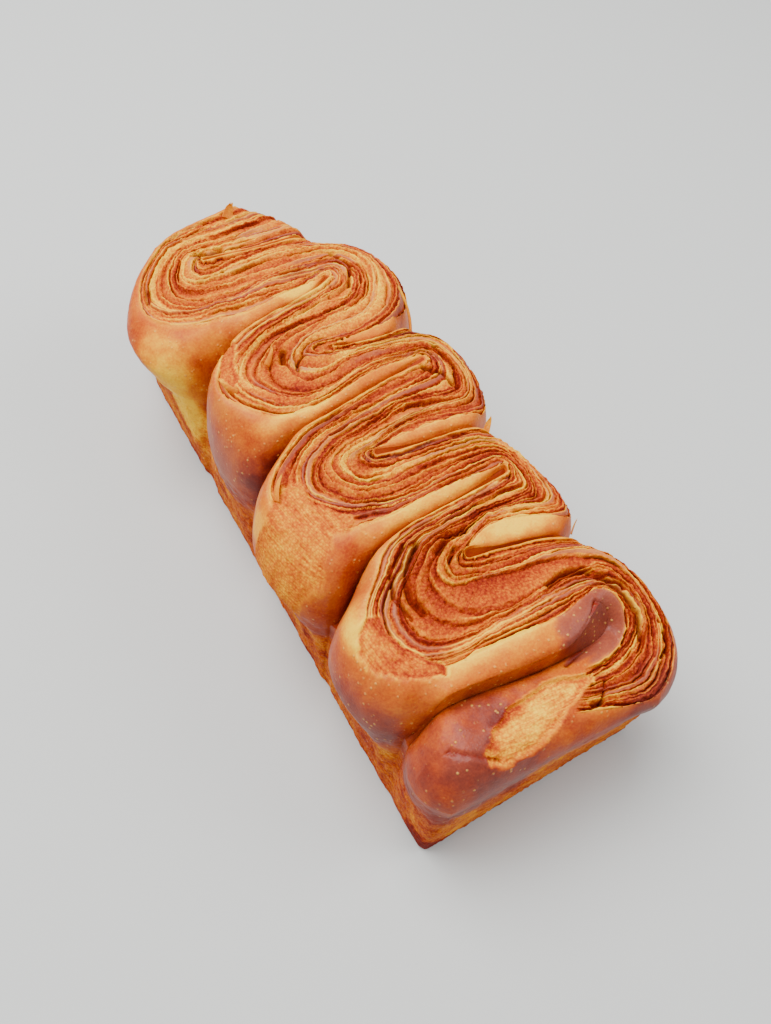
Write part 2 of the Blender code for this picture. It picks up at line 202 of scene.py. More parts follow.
def groove_sides(controls, tip_radius, v):
    """The near and far side of a groove at the shares v from its mouth. It opens a little at its tip."""
    middle = cubic(controls, v)
    step = 1e-3
    ahead = cubic(controls, np.minimum(v + step, 1.0)) - cubic(controls, np.maximum(v - step, 0.0))
    ahead /= np.linalg.norm(ahead, axis=1)[:, None]
    across = np.stack([-ahead[:, 1], ahead[:, 0]], 1)
    across *= np.sign(across[:, 1:2])
    half = GROOVE_GAP / 2 + (tip_radius - GROOVE_GAP / 2) * smooth((v - 0.75) / 0.25)
    return middle - across * half[:, None], middle + across * half[:, None]


def groove_tip(controls, tip_radius, share):
    """Points round the tip of a groove, from its near side to its far side."""
    end = cubic(controls, [1.0])[0]
    ahead = end - cubic(controls, [0.999])[0]
    ahead /= np.linalg.norm(ahead)
    across = np.array([-ahead[1], ahead[0]])
    across *= math.copysign(1.0, across[1])
    angle = np.pi * np.asarray(share)[:, None]
    return end + tip_radius * (-across * np.cos(angle) + ahead * np.sin(angle))


def shares_at(controls, x):
    """The shares of a groove's run at which it reaches the given x."""
    v = np.linspace(0, 1, 801)
    reached = cubic(controls, v)[:, 0]
    order = np.argsort(reached)
    return np.interp(x, reached[order], v[order])


def eased(values, reach):
    """The same run of values with its bends eased over a reach of rows. Both ends stay."""
    weights = np.exp(-0.5 * (np.arange(-3 * reach, 3 * reach + 1) / reach) ** 2)
    weights /= weights.sum()
    values = np.asarray(values, float)
    before = 2 * values[0] - values[3 * reach : 0 : -1]
    after = 2 * values[-1] - values[-2 : -3 * reach - 2 : -1]
    padded = np.concatenate([before, values, after])
    if values.ndim == 1:
        return np.convolve(padded, weights, "valid")
    return np.stack([np.convolve(padded[:, i], weights, "valid") for i in range(values.shape[1])], 1)


def paired_rows(left_groove, right_groove):
    """For each row of a pass, its share of the left groove's run and of the right groove's."""
    left_mouth, left_tip = left_groove[0][0], left_groove[-1][0]
    right_mouth, right_tip = right_groove[0][0], right_groove[-1][0]
    stops = (0, LEFT_ROWS, LEFT_ROWS + MIDDLE_ROWS, PASS_ROWS)
    near, far = right_tip + TIP_ROOM, left_tip - TIP_ROOM
    rows = np.arange(PASS_ROWS + 1, dtype=float)
    beside_lobe = rows < LEFT_ROWS
    rows[beside_lobe] = LEFT_ROWS * (rows[beside_lobe] / LEFT_ROWS) ** MOUTH_CROWDING
    on_left = eased(np.interp(rows, stops, (left_mouth, near, far, left_tip)), 6)
    on_right = eased(np.interp(rows, stops, (right_tip, near, far, right_mouth)), 6)
    return shares_at(left_groove, on_left), shares_at(right_groove, on_right)


def lobe(controls, start, end, share):
    """The outline of a lobe, at even steps, from one groove's mouth to the next."""
    controls = np.array([start, controls[1], controls[2], end], float)
    v = np.linspace(0, 1, 401)
    curve = cubic(controls, v)
    run = np.concatenate([[0], np.cumsum(np.linalg.norm(np.diff(curve, axis=0), axis=1))])
    return cubic(controls, np.interp(share * run[-1], run, v))


def seam_values(v, mouth_share, lip, tip_lip, roll, depth, crown):
    """Beside a groove, at the shares v from its mouth: the width of the roll, the lowest height, and how
    much it is a lobe's roll rather than a groove's lip."""
    open_share = smooth(1 - v / mouth_share)
    width = lip + (tip_lip - lip) * smooth((v - 0.7) / 0.3) + (roll - lip) * open_share
    floor = crown - depth + (depth - TIP_DEPTH) * smooth((v - 0.7) / 0.3)
    return width, floor + (MOUTH_HEIGHT - floor) * open_share, open_share


def fold_ribbon():
    """The ribbon's rows from its near end. Each row runs from face A, on the outside of the left lobes,
    to face B, on the outside of the right ones."""
    names = ("a", "b", "a_roll", "b_roll", "b_skin", "a_floor", "b_floor", "a_lobe", "b_lobe", "crown")
    rows = {name: [] for name in names}
    marks = []

    def add(skip_first, **values):
        count = len(values["a"])
        for name in names:
            value = np.broadcast_to(values[name], values["a"].shape if name in "ab" else (count,))
            rows[name].extend(value[1:] if skip_first else value)

    share = np.linspace(0, 1, TURN_ROWS + 1)
    last = len(LEFT_GROOVES)
    for k in range(2 * last + 1):
        rightward = k % 2 == 0
        crown = np.full(PASS_ROWS + 1, float(CROWNS[k]))
        left = k // 2 if rightward else (k - 1) // 2
        right = k // 2 - 1 if rightward else (k - 1) // 2
        a_share, b_share = paired_rows(LEFT_GROOVES[min(left, last - 1)], RIGHT_GROOVES[max(right, 0)])
        if not rightward:
            a_share, b_share = a_share[::-1], b_share[::-1]
        if left < last:
            near, far = groove_sides(LEFT_GROOVES[left], LEFT_TIP_RADII[left], a_share)
            lips = LEFT_LIPS_BEFORE if rightward else LEFT_LIPS_AFTER
            tip_lip = LEFT_LIPS_BEFORE[left]
            roll = FRONT_ROLL if k == 0 else LEFT_ROLLS[left - 1][1] if rightward else LEFT_ROLLS[left][0]
            mouth_share = LEFT_MOUTH_SHARES[left][0 if rightward else 1]
            depth = LEFT_DEPTHS[left]
            a_roll, a_floor, a_lobe = seam_values(
                a_share, mouth_share, lips[left], tip_lip, roll, depth, crown
            )
            a = near if rightward else far
        else:
            a = cubic(FAR_EDGE, 1 - b_share)
            a_roll = FAR_ROLL + (LEFT_ROLLS[-1][1] - FAR_ROLL) * b_share**2
            a_floor, a_lobe = LEFT_BULGES[-1], 1.0
        if right >= 0:
            near, far = groove_sides(RIGHT_GROOVES[right], RIGHT_TIP_RADII[right], b_share)
            lips = RIGHT_LIPS_AFTER if rightward else RIGHT_LIPS_BEFORE
            tip_lip = RIGHT_LIPS_BEFORE[right]
            depth = RIGHT_DEPTHS[right]
            b_roll, b_floor, b_lobe = seam_values(
                b_share, RIGHT_MOUTH_SHARE, lips[right], tip_lip, RIGHT_ROLL, depth, crown
            )
            b_skin = b_roll + (RIGHT_SKIN - b_roll) * b_lobe
            b = far if rightward else near
        else:
            b = cubic(FRONT_EDGE, a_share)
            b_roll = FRONT_ROLL + (RIGHT_ROLL - FRONT_ROLL) * a_share
            b_skin = FRONT_ROLL + (RIGHT_SKIN - FRONT_ROLL) * smooth(a_share * 1.4 - 0.4)
            b_floor = END_HEIGHT + (RIGHT_BULGE - END_HEIGHT) * a_share
            b_lobe = 1.0
        add(k > 0, a=a, b=b, a_roll=a_roll, b_roll=b_roll, b_skin=b_skin, a_floor=a_floor, b_floor=b_floor,
            a_lobe=a_lobe, b_lobe=b_lobe, crown=crown)
        if k == 2 * last:
            break
        crown = CROWNS[k] + (CROWNS[k + 1] - CROWNS[k]) * smooth(share)
        side = np.sin(np.pi * share) ** 0.5
        if rightward:
            before = rows["b"][-1]
            after = groove_sides(RIGHT_GROOVES[left], RIGHT_TIP_RADII[left], np.zeros(1))[0][0]
            a = groove_tip(LEFT_GROOVES[left], LEFT_TIP_RADII[left], share)
            b = lobe(RIGHT_LOBES[left], before, after, share)
            start_floor = rows["b_floor"][-1]
            ends_floor = start_floor + (MOUTH_HEIGHT - start_floor) * share
            add(True, a=a, b=b, a_roll=LEFT_LIPS_BEFORE[left], b_roll=RIGHT_ROLL, b_skin=RIGHT_SKIN,
                a_floor=crown - TIP_DEPTH, b_floor=ends_floor + (RIGHT_BULGE - ends_floor) * side,
                a_lobe=0.0, b_lobe=1.0, crown=crown)
        else:
            before = rows["a"][-1]
            if left + 1 < last:
                after = groove_sides(LEFT_GROOVES[left + 1], LEFT_TIP_RADII[left + 1], np.zeros(1))[0][0]
                end_floor = MOUTH_HEIGHT
            else:
                after, end_floor = np.array(FAR_EDGE[0], float), LEFT_BULGES[-1]
            a = lobe(LEFT_LOBES[left], before, after, share)
            b = groove_tip(RIGHT_GROOVES[left], RIGHT_TIP_RADII[left], share)
            ends_floor = MOUTH_HEIGHT + (end_floor - MOUTH_HEIGHT) * share
            near_roll, far_roll = LEFT_ROLLS[left]
            a_roll = near_roll + (far_roll - near_roll) * smooth(share * 1.5 - 0.15)
            add(True, a=a, b=b, a_roll=a_roll, b_roll=RIGHT_LIPS_BEFORE[left],
                b_skin=RIGHT_LIPS_BEFORE[left],
                a_floor=ends_floor + (LEFT_BULGES[left] - ends_floor) * side, b_floor=crown - TIP_DEPTH,
                a_lobe=1.0, b_lobe=0.0, crown=crown)
    span = PASS_ROWS + TURN_ROWS
    for j in range(last):
        first = 2 * j * span
        marks.append((True, first, first + PASS_ROWS + span))
        marks.append((False, first + span, first + span + PASS_ROWS + span))
    rows = {name: np.array(value, float) for name, value in rows.items()}
    for edge, on_left in (("a", True), ("b", False)):
        mouths = [row for mark in marks if mark[0] == on_left for row in mark[1:]]
        near = np.max([np.exp(-(((np.arange(len(rows[edge])) - row) / 18) ** 2)) for row in mouths], axis=0)
        rows[edge] = rows[edge] + (eased(rows[edge], 9) - rows[edge]) * near[:, None]
        for name in (edge + "_floor", edge + "_roll"):
            rows[name] = rows[name] + (eased(rows[name], 6) - rows[name]) * near
    return rows, marks


def unevenness(x, y):
    """The gentle rise and fall of the baked top."""
    return UNEVENNESS * (np.sin(x / 7.3 + y / 21) + np.sin(x / 17 - y / 9.1 + 1.3)) / 2


def lift(away, roll, fullness):
    """How far the top has risen from its edge, from 0 to 1, at a distance from it."""
    fall = np.clip(1 - away / roll, 0, 1) ** fullness
    return (1 - fall) ** (1 / fullness)


def top_frame(rows):
    """The smooth top before its layers part, as rows and columns of points."""
    a, b = rows["a"], rows["b"]
    width = np.linalg.norm(b - a, axis=1)
    a_roll, b_roll, b_skin = rows["a_roll"], rows["b_roll"], rows["b_skin"]
    fit = np.minimum(1.0, 0.9 * width / (a_roll + b_skin))
    along = (b - a) / width[:, None]
    inner_a = eased(a + along * (a_roll * fit)[:, None], 9)
    inner_b = eased(b - along * (b_skin * fit)[:, None], 9)
    roll = 1 - np.cos(np.linspace(0, np.pi / 2, SKIN_COLUMNS + 1))
    share = np.linspace(0, 1, LAYER_COLUMNS + 1)[None, 1:-1]
    bare = eased(np.clip(1 - b_skin / b_roll, 0, 1), 12)[:, None]
    share = share + (1 - (1 - share) ** 1.7 - share) * bare
    parts = [
        a[:, None, :] + (inner_a - a)[:, None, :] * roll[None, :, None],
        inner_a[:, None, :] + (inner_b - inner_a)[:, None, :] * share[:, :, None],
        b[:, None, :] + (inner_b - b)[:, None, :] * roll[None, ::-1, None],
    ]
    points = np.concatenate(parts, 1)
    fit = np.minimum(1.0, 0.98 * width / (a_roll + b_roll))
    sides = []
    for edge, wide, lobe_share, floor in (
        (a, a_roll * fit, rows["a_lobe"], rows["a_floor"]),
        (b, b_roll * fit, rows["b_lobe"], rows["b_floor"]),
    ):
        away = np.linalg.norm(points - edge[:, None, :], axis=2)
        fullness = LIP_FULLNESS + (2 - LIP_FULLNESS) * lobe_share
        sides.append((lift(away, wide[:, None], fullness[:, None]), floor[:, None]))
    ends = ((0, (-1.0, -0.1), NEAR_END_SWELL, NEAR_END_ROLL), (-1, (0.87, 0.5), FAR_END_SWELL, FAR_END_ROLL))
    across = np.linalg.norm(points - a[:, None, :], axis=2) / width[:, None]
    for end, way, reach, end_roll in ends:
        away = np.linalg.norm(points - points[end], axis=2)
        away[PASS_ROWS // 2 : -PASS_ROWS // 2] = end_roll
        swell = reach * np.sin(np.pi * np.clip(across, 0, 1)) ** 0.8 * np.clip(1 - away / end_roll, 0, 1)
        sides.append((lift(away, end_roll, 2), END_HEIGHT))
        points = points + swell[:, :, None] * np.array(way)
    total = sum(1 - risen for risen, _ in sides)
    floor = sum((1 - risen) * low for risen, low in sides) / np.maximum(total, 1e-9)
    risen = np.prod([risen for risen, _ in sides], axis=0)
    from_middle = (points[:, :, 0] - TIN_WIDTH / 2) / (TIN_WIDTH / 2)
    crown = rows["crown"][:, None] - EDGE_FALL * from_middle**4 + unevenness(points[:, :, 0], points[:, :, 1])
    height = np.where(total > 1e-6, floor + (crown - floor) * risen, crown)
    return np.concatenate([points, height[:, :, None]], 2), risen


# The layers, the skin and what has torn, at each point of the top.


def spot(points, centre, radii, ragged=0.2, seed=0, edge=0.1):
    """1 inside a rounded patch on the crust and 0 outside it, with a ragged edge."""
    away = (points - np.array(centre, float)) / np.array(radii, float)
    x, y, z = (points[..., i] for i in range(3))
    reach = np.linalg.norm(away, axis=-1) + (cloudy(seed + 50, x / 5, y / 5, z / 5) - 0.5) * 2 * ragged
    return smooth((1 - reach) / edge)


def from_path(points, path, closed=False):
    """The distance in millimetres to a path drawn on the top, and whether a point is inside a closed one."""
    x, y = points[..., 0], points[..., 1]
    away = np.full(x.shape, np.inf)
    within = np.zeros(x.shape, bool)
    ends = path[1:] + path[:1] if closed else path[1:]
    for (x1, y1), (x2, y2) in zip(path, ends):
        share = ((x - x1) * (x2 - x1) + (y - y1) * (y2 - y1)) / ((x2 - x1) ** 2 + (y2 - y1) ** 2)
        share = np.clip(share, 0, 1)
        away = np.minimum(away, np.hypot(x - x1 - share * (x2 - x1), y - y1 - share * (y2 - y1)))
        if y1 != y2:
            within ^= ((y1 > y) != (y2 > y)) & (x < x1 + (x2 - x1) * (y - y1) / (y2 - y1))
    return away, within


# How far the notches between the folds at the far end reach in.
NOTCH = (3.4, 1.9, 1.6)
# Where the skin has torn away and shows the crumb: its outline seen from above, how ragged it is, its
# depth, its tone and how much its torn edge stands out.
TORN = (
    # The lens of bare crumb on the near bulge.
    (((19, 5), (19, 2), (24, -0.5), (33, -1), (41, 1), (49, 4.5), (56, 7), (60.5, 7.5), (61, 9.5), (54, 12),
      (46, 14), (39, 13.5), (32, 12.5), (25, 9.5)), 0.7, 1.5, 0.84, 1.0),
    # The crescent on the nearest left lobe.
    (((7.5, 55), (2.5, 53), (-0.5, 46.5), (0.5, 42), (4.5, 36.5), (11.5, 32), (19, 29), (20.5, 31),
      (17, 36.5), (12.5, 43), (10.5, 49), (11, 54)), 0.9, 1.3, 0.5, 0.9),
    # The golden crumb on the second left lobe.
    (((5, 109.5), (11.5, 106), (12, 100), (17, 90), (22.5, 84), (17, 83.5), (11, 83), (6, 79), (2, 74),
      (-8, 78), (-12, 90), (-12, 101), (-7.5, 101), (-4.5, 102.5), (-1, 102.5), (2.5, 106)), 1.8, 0.4, 0.64,
     0.3),
    # The gap behind the torn skin of the third left lobe.
    (((8.5, 152), (7.5, 160), (12, 170), (15, 176), (18, 171), (14, 163), (12.5, 155)), 0.9, 0.8, 0.6, 0.8),
)
# Paler and darker places in the bare crumb: middle, half sizes and how much paler.
SCORCHED = (
    ((2, 48, 71), (8, 13, 6), 0.26),
    ((30, 11.5, 64), (9, 3.2, 5), -0.4),
    ((22.5, 6, 64), (3, 5, 5), -0.3),
    ((-2, 92, 62), (10, 12, 20), 0.08),
)
# Slits, holes and creases: the path seen from above, half its width and its depth.
CREVICES = (
    (((33, 69), (26.5, 63.5), (23.6, 59.5), (22.5, 54.5), (24, 49.5)), 1.3, 3.4),
    (((29, 70), (21, 65), (18, 57), (19.5, 49)), 0.7, 2.2),
    (((64, 38.5), (70, 39.5), (76, 37.5), (81.6, 32), (85.6, 25.3), (86.6, 18.6), (84, 12)), 1.25, 3.0),
    (((92, 14), (91.8, 9.5), (89.6, 5.6), (85, 3.9)), 0.6, 2.6),
    (((56.4, 1.6), (58, 1.2), (59.6, 1.4)), 0.9, 4.0),
    (((59.6, 1.4), (61.5, 3.2), (64.1, 6)), 0.45, 2.2),
    (((38.3, 63.7), (43.3, 67), (50, 67)), 1.3, 3.4),
    (((43, 62.5), (39.5, 60)), 1.0, 2.5),
    (((30.4, 157.2), (31.4, 159.4), (32.4, 161.4)), 1.3, 4.6),
    (((38, 155), (34, 153.5), (33, 150.5)), 0.7, 2.4),
    (((1.5, 214), (0, 209)), 0.8, 3.0),
    (((25, 222), (30, 219.5), (35, 221)), 1.2, 3.2),
    (((73, 131), (79, 126), (80, 119)), 0.9, 2.8),
    (((70, 180), (76, 190), (72, 199)), 0.7, 2.2),
    (((80, 118), (85, 128), (83, 139)), 0.7, 2.2),
    (((10, 11), (13, 7.5), (18, 4), (22, 1)), 0.5, 1.0),
    (((73, 26), (69.5, 22), (64, 18.5), (56, 16)), 1.1, 1.4),
)
# Layers that open into a broad face: where along the ribbon, which layer, how much wider, over how far.
BROAD_LAYERS = (
    (1.33, 10, 9.0, 17),
    (1.02, 6, 2.4, 14),
    (2.9, 6, 2.4, 20),
    (3.4, 11, 2.6, 16),
    (4.25, 4, 2.4, 22),
    (5.3, 9, 3.0, 18),
    (6.1, 12, 2.4, 20),
    (7.35, 4, 3.0, 22),
    (8.3, 11, 3.2, 22),
    (8.35, 5, 2.4, 20),
)
# The shallow pocket round the tip of the nearest left groove: its middle and half sizes.
POCKET = ((70, 21, 69), (17, 14, 14))
# Where the grooves' floors are skin like what lies beside them.
SHALLOW_FLOORS = (POCKET, ((28, 22, 60), (42, 17, 26)))
# How the oven coloured it, and one place of painted shade: middle and half sizes, how much paler (or darker),
# and how much more glazed.
BAKED_AND_SHADED = (
    ((24, 7, 52), (36, 22, 28), -0.34, 1.0),
    ((80, -4, 54), (26, 14, 14), -0.24, 0.7),
    ((-3, 36, 52), (15, 26, 14), -0.22, 0.5),
    ((3, 56, 70), (9, 13, 9), 0.28, -0.6),
    ((34, 31, 73), (27, 7.5, 8), 0.2, -0.8),
    ((67, 61, 75), (22, 7, 9), 0.4, -1.0),
    ((-4, 93, 60), (17, 24, 26), 0.12, -0.9),
    ((14, 78, 64), (13, 9, 14), -0.26, -0.3),
    ((-8, 105, 66), (8, 10, 12), 0.34, -0.8),
    ((0, 148, 54), (15, 30, 16), 0.02, 0.75),
    # Painted shade: the low side of the second left lobe, much darker.
    ((13, 128, 54), (17, 12, 20), -0.75, 0.2),
    ((22, 132, 75), (24, 5, 5), 0.36, -0.9),
    ((29, 141, 75), (14, 8, 5), -0.2, -1.0),
    ((14, 162, 75), (8, 14, 5), 0.14, -1.0),
    ((-4, 184, 48), (15, 19, 34), 0.62, -1.6),
    ((12, 182, 68), (12, 9, 10), 0.16, -0.6),
    ((52, 185, 75), (16, 6, 5), 0.4, -1.0),
    ((46, 80, 75), (30, 6, 5), 0.24, -0.6),
    ((30, 225, 72), (26, 14, 10), 0.1, 0.0),
    ((62, 240, 68), (22, 16, 18), 0.06, 0.0),
)


def baked(points, tone, glaze):
    """The tone and the glaze with the oven's colouring and the one patch of painted shade."""
    for n, (centre, radii, paler, glossier) in enumerate(BAKED_AND_SHADED):
        here = spot(points, centre, radii, 0.25, 300 + 3 * n, 0.7)
        tone = tone + paler * here
        glaze = glaze + glossier * here
    return tone, np.clip(glaze, 0, 1)


def layer_edges(run, luck):
    """Across the ribbon, the share at which each layer starts. Layers thin out and open up along it."""
    layer = np.arange(LAYERS)[None, :]
    thick = luck.uniform(0.5, 1.5, LAYERS)[None, :]
    thick = thick * np.exp(2.6 * (soft_noise(31, run / 26 + 0 * layer, layer * 3.7 + 0 * run) - 0.5))
    span = PASS_ROWS + TURN_ROWS
    for where, wide_layer, wider, reach in BROAD_LAYERS:
        centre = run[int(where * span)]
        here = np.exp(-(((run[:, 0] - centre) / reach) ** 2))
        thick[:, wide_layer] *= 1 + (wider - 1) * here
    edges = np.cumsum(thick, 1) / thick.sum(1, keepdims=True)
    return np.concatenate([np.zeros((len(run), 1)), edges], 1)


def layer_relief(points, rows):
    """How far each point of the top stands up or sinks where the layers part, and what shows there."""
    count, columns = points.shape[:2]
    first, last = SKIN_COLUMNS, SKIN_COLUMNS + LAYER_COLUMNS
    cut = points[:, first : last + 1]
    x, y = cut[..., 0], cut[..., 1]
    middle = cut[:, LAYER_COLUMNS // 2, :2]
    run = np.concatenate([[0], np.cumsum(np.linalg.norm(np.diff(middle, axis=0), axis=1))])[:, None]
    step = np.linalg.norm(np.diff(cut[..., :2], axis=1), axis=2)
    gone = np.concatenate([np.zeros((count, 1)), np.cumsum(step, 1)], 1)
    width = gone[:, -1:]
    share = gone / np.maximum(width, 1e-6)
    luck = np.random.default_rng(LAYER_SEED)
    edges = layer_edges(run, luck)
    jitter = 0.75 * (cloudy(22, x / 1.5, y / 1.5) - 0.5) + 1.2 * (cloudy(24, x / 6, y / 6) - 0.5)
    wander = 0.1 * (cloudy(21, run / 30, share * 4) - 0.5) + jitter / np.maximum(width, 1)
    place = np.clip(share + wander * smooth(share * 8) * smooth((1 - share) * 8), 0, 0.9999)
    n = np.zeros(place.shape, int)
    for i in range(1, LAYERS):
        n += place > edges[:, i : i + 1]
    low, high = np.take_along_axis(edges, n, 1), np.take_along_axis(edges, n + 1, 1)
    thick = (high - low) * width
    to_low, to_high = (place - low) * width, (high - place) * width
    across = (place - low) / np.maximum(high - low, 1e-6)

    # Each layer leans: it has a crest near one side and slopes down to the other.
    shown = np.sin(run / 9 + n * 2.4)
    crest = 0.5 + 0.36 * np.clip(6 * (soft_noise(35, run / 38 + 0 * n, n * 4.9) - 0.5), -1, 1)
    climb = np.where(across < crest, across / crest, (1 - across) / (1 - crest))
    from_crest = np.abs(across - crest) * thick
    wide = smooth((thick - 2.5) / 4)
    base = luck.uniform(-1.3, -0.3, LAYERS + 1)
    stand = base[n] + 1.4 * (soft_noise(37, run / 22 + 0 * n, n * 7.31) - 0.5)
    drop = (0.25 + 0.42 * np.clip(thick, 0, 2.5)) * (0.5 + 0.9 * soft_noise(39, run / 15 + 0 * n, n * 2.9))

    def parting(edge):
        open_share = smooth((soft_noise(33, run / 9 + 0 * edge, edge * 3.77) - 0.45) / 0.22)
        return open_share * (0.3 + 1.5 * soft_noise(34, run / 15 + 0 * edge, edge * 5.3))

    low_gap = parting(n) * np.exp(-((to_low / PARTING_WIDTH) ** 2))
    high_gap = parting(n + 1) * np.exp(-((to_high / PARTING_WIDTH) ** 2))
    frayed = smooth((soft_noise(43, run / 6 + 0 * n, n * 6.1) - 0.35) / 0.2)
    rim = np.exp(-((from_crest / CREST_WIDTH) ** 2)) * frayed
    ends = smooth(share * width / 0.6) * smooth((1 - share) * width / 0.6)
    rise = (stand + drop * (climb**0.8 - 1) - low_gap - high_gap) * ends + 0.18 * rim
    # The skin is torn off along an uneven line, a little way over the layers.
    torn_a = 2.6 * cloudy(47, run / 5 + 0 * n, 0 * n) - 1.1 + jitter - gone
    torn_b = 2.2 * cloudy(49, run / 4 + 0 * n, 0 * n) - 1.0 + jitter - (width - gone)
    torn = np.maximum(torn_a, torn_b)
    over = smooth(torn / 0.3 + 0.5)
    lip_edge = np.exp(-(((torn - 0.25) / 0.3) ** 2))
    under = np.exp(-(((torn + 0.35) / 0.35) ** 2))
    rise = rise - 0.25
    rise = rise * (1 - over) - 0.1 * over + 0.15 * lip_edge - 0.5 * under

    shades = luck.uniform(0.38, 0.92, LAYERS + 1)
    glazed = luck.uniform(-0.22, 0.22, LAYERS + 1)
    layer_tone = shades[n] + 0.5 * (soft_noise(36, run / 24 + 0 * n, n * 5.1) - 0.5)
    # Painted shade: each layer darkens down its slope towards the gap beside it. The pale line along its
    # crest is partly a paler raised edge and partly a painted highlight.
    layer_tone = layer_tone - 0.32 * (1 - climb) * (1 - 0.6 * wide) + 0.3 * rim
    layer_tone = layer_tone * (1 - wide) + (0.28 + 0.3 * climb + 0.06 * shown) * wide
    layer_tone = layer_tone + 0.14 * (smooth((y - 40) / 160) - 0.3)
    # Painted shade: darker just beneath the torn skin's edge, where the surface also sinks.
    layer_tone = layer_tone * (1 - over) + (0.68 + 0.2 * lip_edge) * over - 0.2 * under
    flat_band = smooth((climb - 0.35) / 0.2)
    glaze_here = smooth((soft_noise(38, run / 40 + 0 * n, n * 9.7) + glazed[n] - 0.5) / 0.14)
    glaze_here = glaze_here * flat_band * (1 - wide)

    relief = np.zeros((count, columns))
    tone = np.zeros((count, columns))
    glaze = np.zeros((count, columns))
    crumb = np.zeros((count, columns))
    crevice_shade = np.zeros((count, columns))
    relief[:, first : last + 1] = rise
    tone[:, first : last + 1] = layer_tone
    glaze[:, first : last + 1] = glaze_here * (1 - rim) * (1 - over)
    crumb[:, first : last + 1] = (1 - 0.85 * glaze_here) * (1 - over)
    # Painted shade in the gaps where the layers part.
    crevice_shade[:, first : last + 1] = np.clip((low_gap + high_gap) / 1.2, 0, 1) * ends * (1 - over)

    # The skin beside the layers and over the lobes.
    angle = np.linspace(0, 1, SKIN_COLUMNS + 1)
    for side, order in (("a", slice(None)), ("b", slice(None, None, -1))):
        band = slice(0, first + 1) if side == "a" else slice(last, columns)
        up = angle[order][None, :]
        lobe_share = rows[side + "_lobe"][:, None]
        bx, by, bz = (points[:, band, i] for i in range(3))
        mottle = cloudy(41, bx / 9, by / 9, bz / 9) - 0.5
        shade = (0.34 + 0.22 * up) * lobe_share + (0.42 + 0.26 * up) * (1 - lobe_share)
        tone[:, band] = shade + 0.26 * mottle
        glaze[:, band] = lobe_share * (0.25 + 0.9 * mottle) * smooth(1.4 - up)
        pocket = spot(points[:, band], POCKET[0], POCKET[1], 0.2, 510, 0.35) * (1 - lobe_share)
        glaze[:, band] += 1.4 * pocket
        tone[:, band] -= 0.3 * pocket
        rim = smooth((up - 0.9) / 0.08)
        tone[:, band] += 0.15 * rim
        relief[:, band] += 0.9 * mottle * up - 0.3
    return relief, {"tone": tone, "glaze": glaze, "crumb": crumb, "crevice_shade": crevice_shade}, run


def plain_start(points, rows_count):
    """1 where the first pass is smooth skin all the way across, and 0 elsewhere."""
    row = np.arange(len(points))[:, None]
    x, y = points[..., 0], points[..., 1]
    on_pass = smooth((rows_count * 1.25 - row) / 20)
    line = 57 + 1.1 * (y - 4) + 8 * (cloudy(71, x / 9, y / 9) - 0.5)
    beside_groove = smooth((y - 14) / 1.5) * smooth((x - 36) / 6)
    return on_pass * smooth((line - x) / 5) * (1 - beside_groove)


def dress_top(points, rows):
    """The relief of the whole top, and what shows at each point of it."""
    relief, masks, run = layer_relief(points, rows)
    tone, glaze, crumb, crevice_shade = (masks[name] for name in ("tone", "glaze", "crumb", "crevice_shade"))
    x, y, z = (points[..., i] for i in range(3))
    mottle = cloudy(45, x / 8, y / 8, z / 8) - 0.5
    plain = plain_start(points, PASS_ROWS)
    relief = relief * (1 - plain) + (0.8 * mottle - 0.3) * plain
    tone = tone * (1 - plain) + (0.44 + 0.2 * mottle) * plain
    glaze, crumb, crevice_shade = (mask * (1 - plain) for mask in (glaze, crumb, crevice_shade))
    tone, glaze = baked(points, tone, glaze)
    for n, (outline, ragged, deep, shade, lip) in enumerate(TORN):
        away, within = from_path(points, list(outline), True)
        wander = 2.4 * (cloudy(400 + 3 * n, x / 4, y / 4) - 0.5) + 1.2 * (cloudy(402 + 3 * n, x, y) - 0.5)
        inward = np.where(within, away, -away) + ragged * wander
        bare = smooth(inward / (3.5 - 3 * lip) + 0.5)
        torn_edge = lip * np.exp(-(((inward + 0.3) / 0.45) ** 2))
        relief = relief * (1 - bare) - deep * smooth(inward / 0.8 + 0.5) + 0.35 * torn_edge
        grain = cloudy(430 + 3 * n, x / 4, y / 4) - 0.5
        tone = tone * (1 - bare) + (shade + 0.3 * grain) * bare + 0.3 * torn_edge
        # Painted shade: a darker band just inside the torn edge, below its raised lip.
        tone = tone - 0.22 * lip * np.exp(-(((inward - 0.9) / 0.6) ** 2))
        glaze = glaze * (1 - bare) * (1 - torn_edge)
        crumb = crumb * (1 - bare) + bare
        crevice_shade = crevice_shade * (1 - bare)
    for centre, radii, paler in SCORCHED:
        tone = tone + paler * spot(points, centre, radii, 0.2, 480, 0.8)
    for path, half, deep in CREVICES:
        away, _ = from_path(points, list(path))
        away = away + 0.5 * (cloudy(460, x / 1.5, y / 1.5) - 0.5)
        open_here = np.exp(-((np.maximum(away, 0) / half) ** 2))
        relief = relief - deep * open_here
        # Painted shade down in each slit and hole.
        crevice_shade = np.maximum(crevice_shade, smooth(open_here * 1.6 - 0.3))
    masks = {"tone": np.clip(tone, 0, 1), "glaze": glaze, "crumb": np.clip(crumb, 0, 1), "crevice_shade": crevice_shade}
    return relief, masks, run


def outward(points):
    """The direction straight out of a grid of points, at each of them."""
    down = np.gradient(points, axis=0)
    across = np.gradient(points, axis=1)
    normal = np.cross(down, across)
    length = np.linalg.norm(normal, axis=2, keepdims=True)
    return normal / np.maximum(length, 1e-9)


def notched_end(points):
    """The same points with notches between the folds that end at the far end."""
    rows = slice(-(PASS_ROWS // 2), None)
    away = np.linalg.norm(points[rows] - points[-1], axis=-1)
    notch = smooth((cloudy(83, points[-1, :, 0] / 5, points[-1, :, 1] / 5) - 0.42) / 0.2)
    notch = (notch * np.exp(-((away / 9) ** 2)))[..., None]
    return np.concatenate([points[: -(PASS_ROWS // 2)], points[rows] - notch * np.array(NOTCH)])


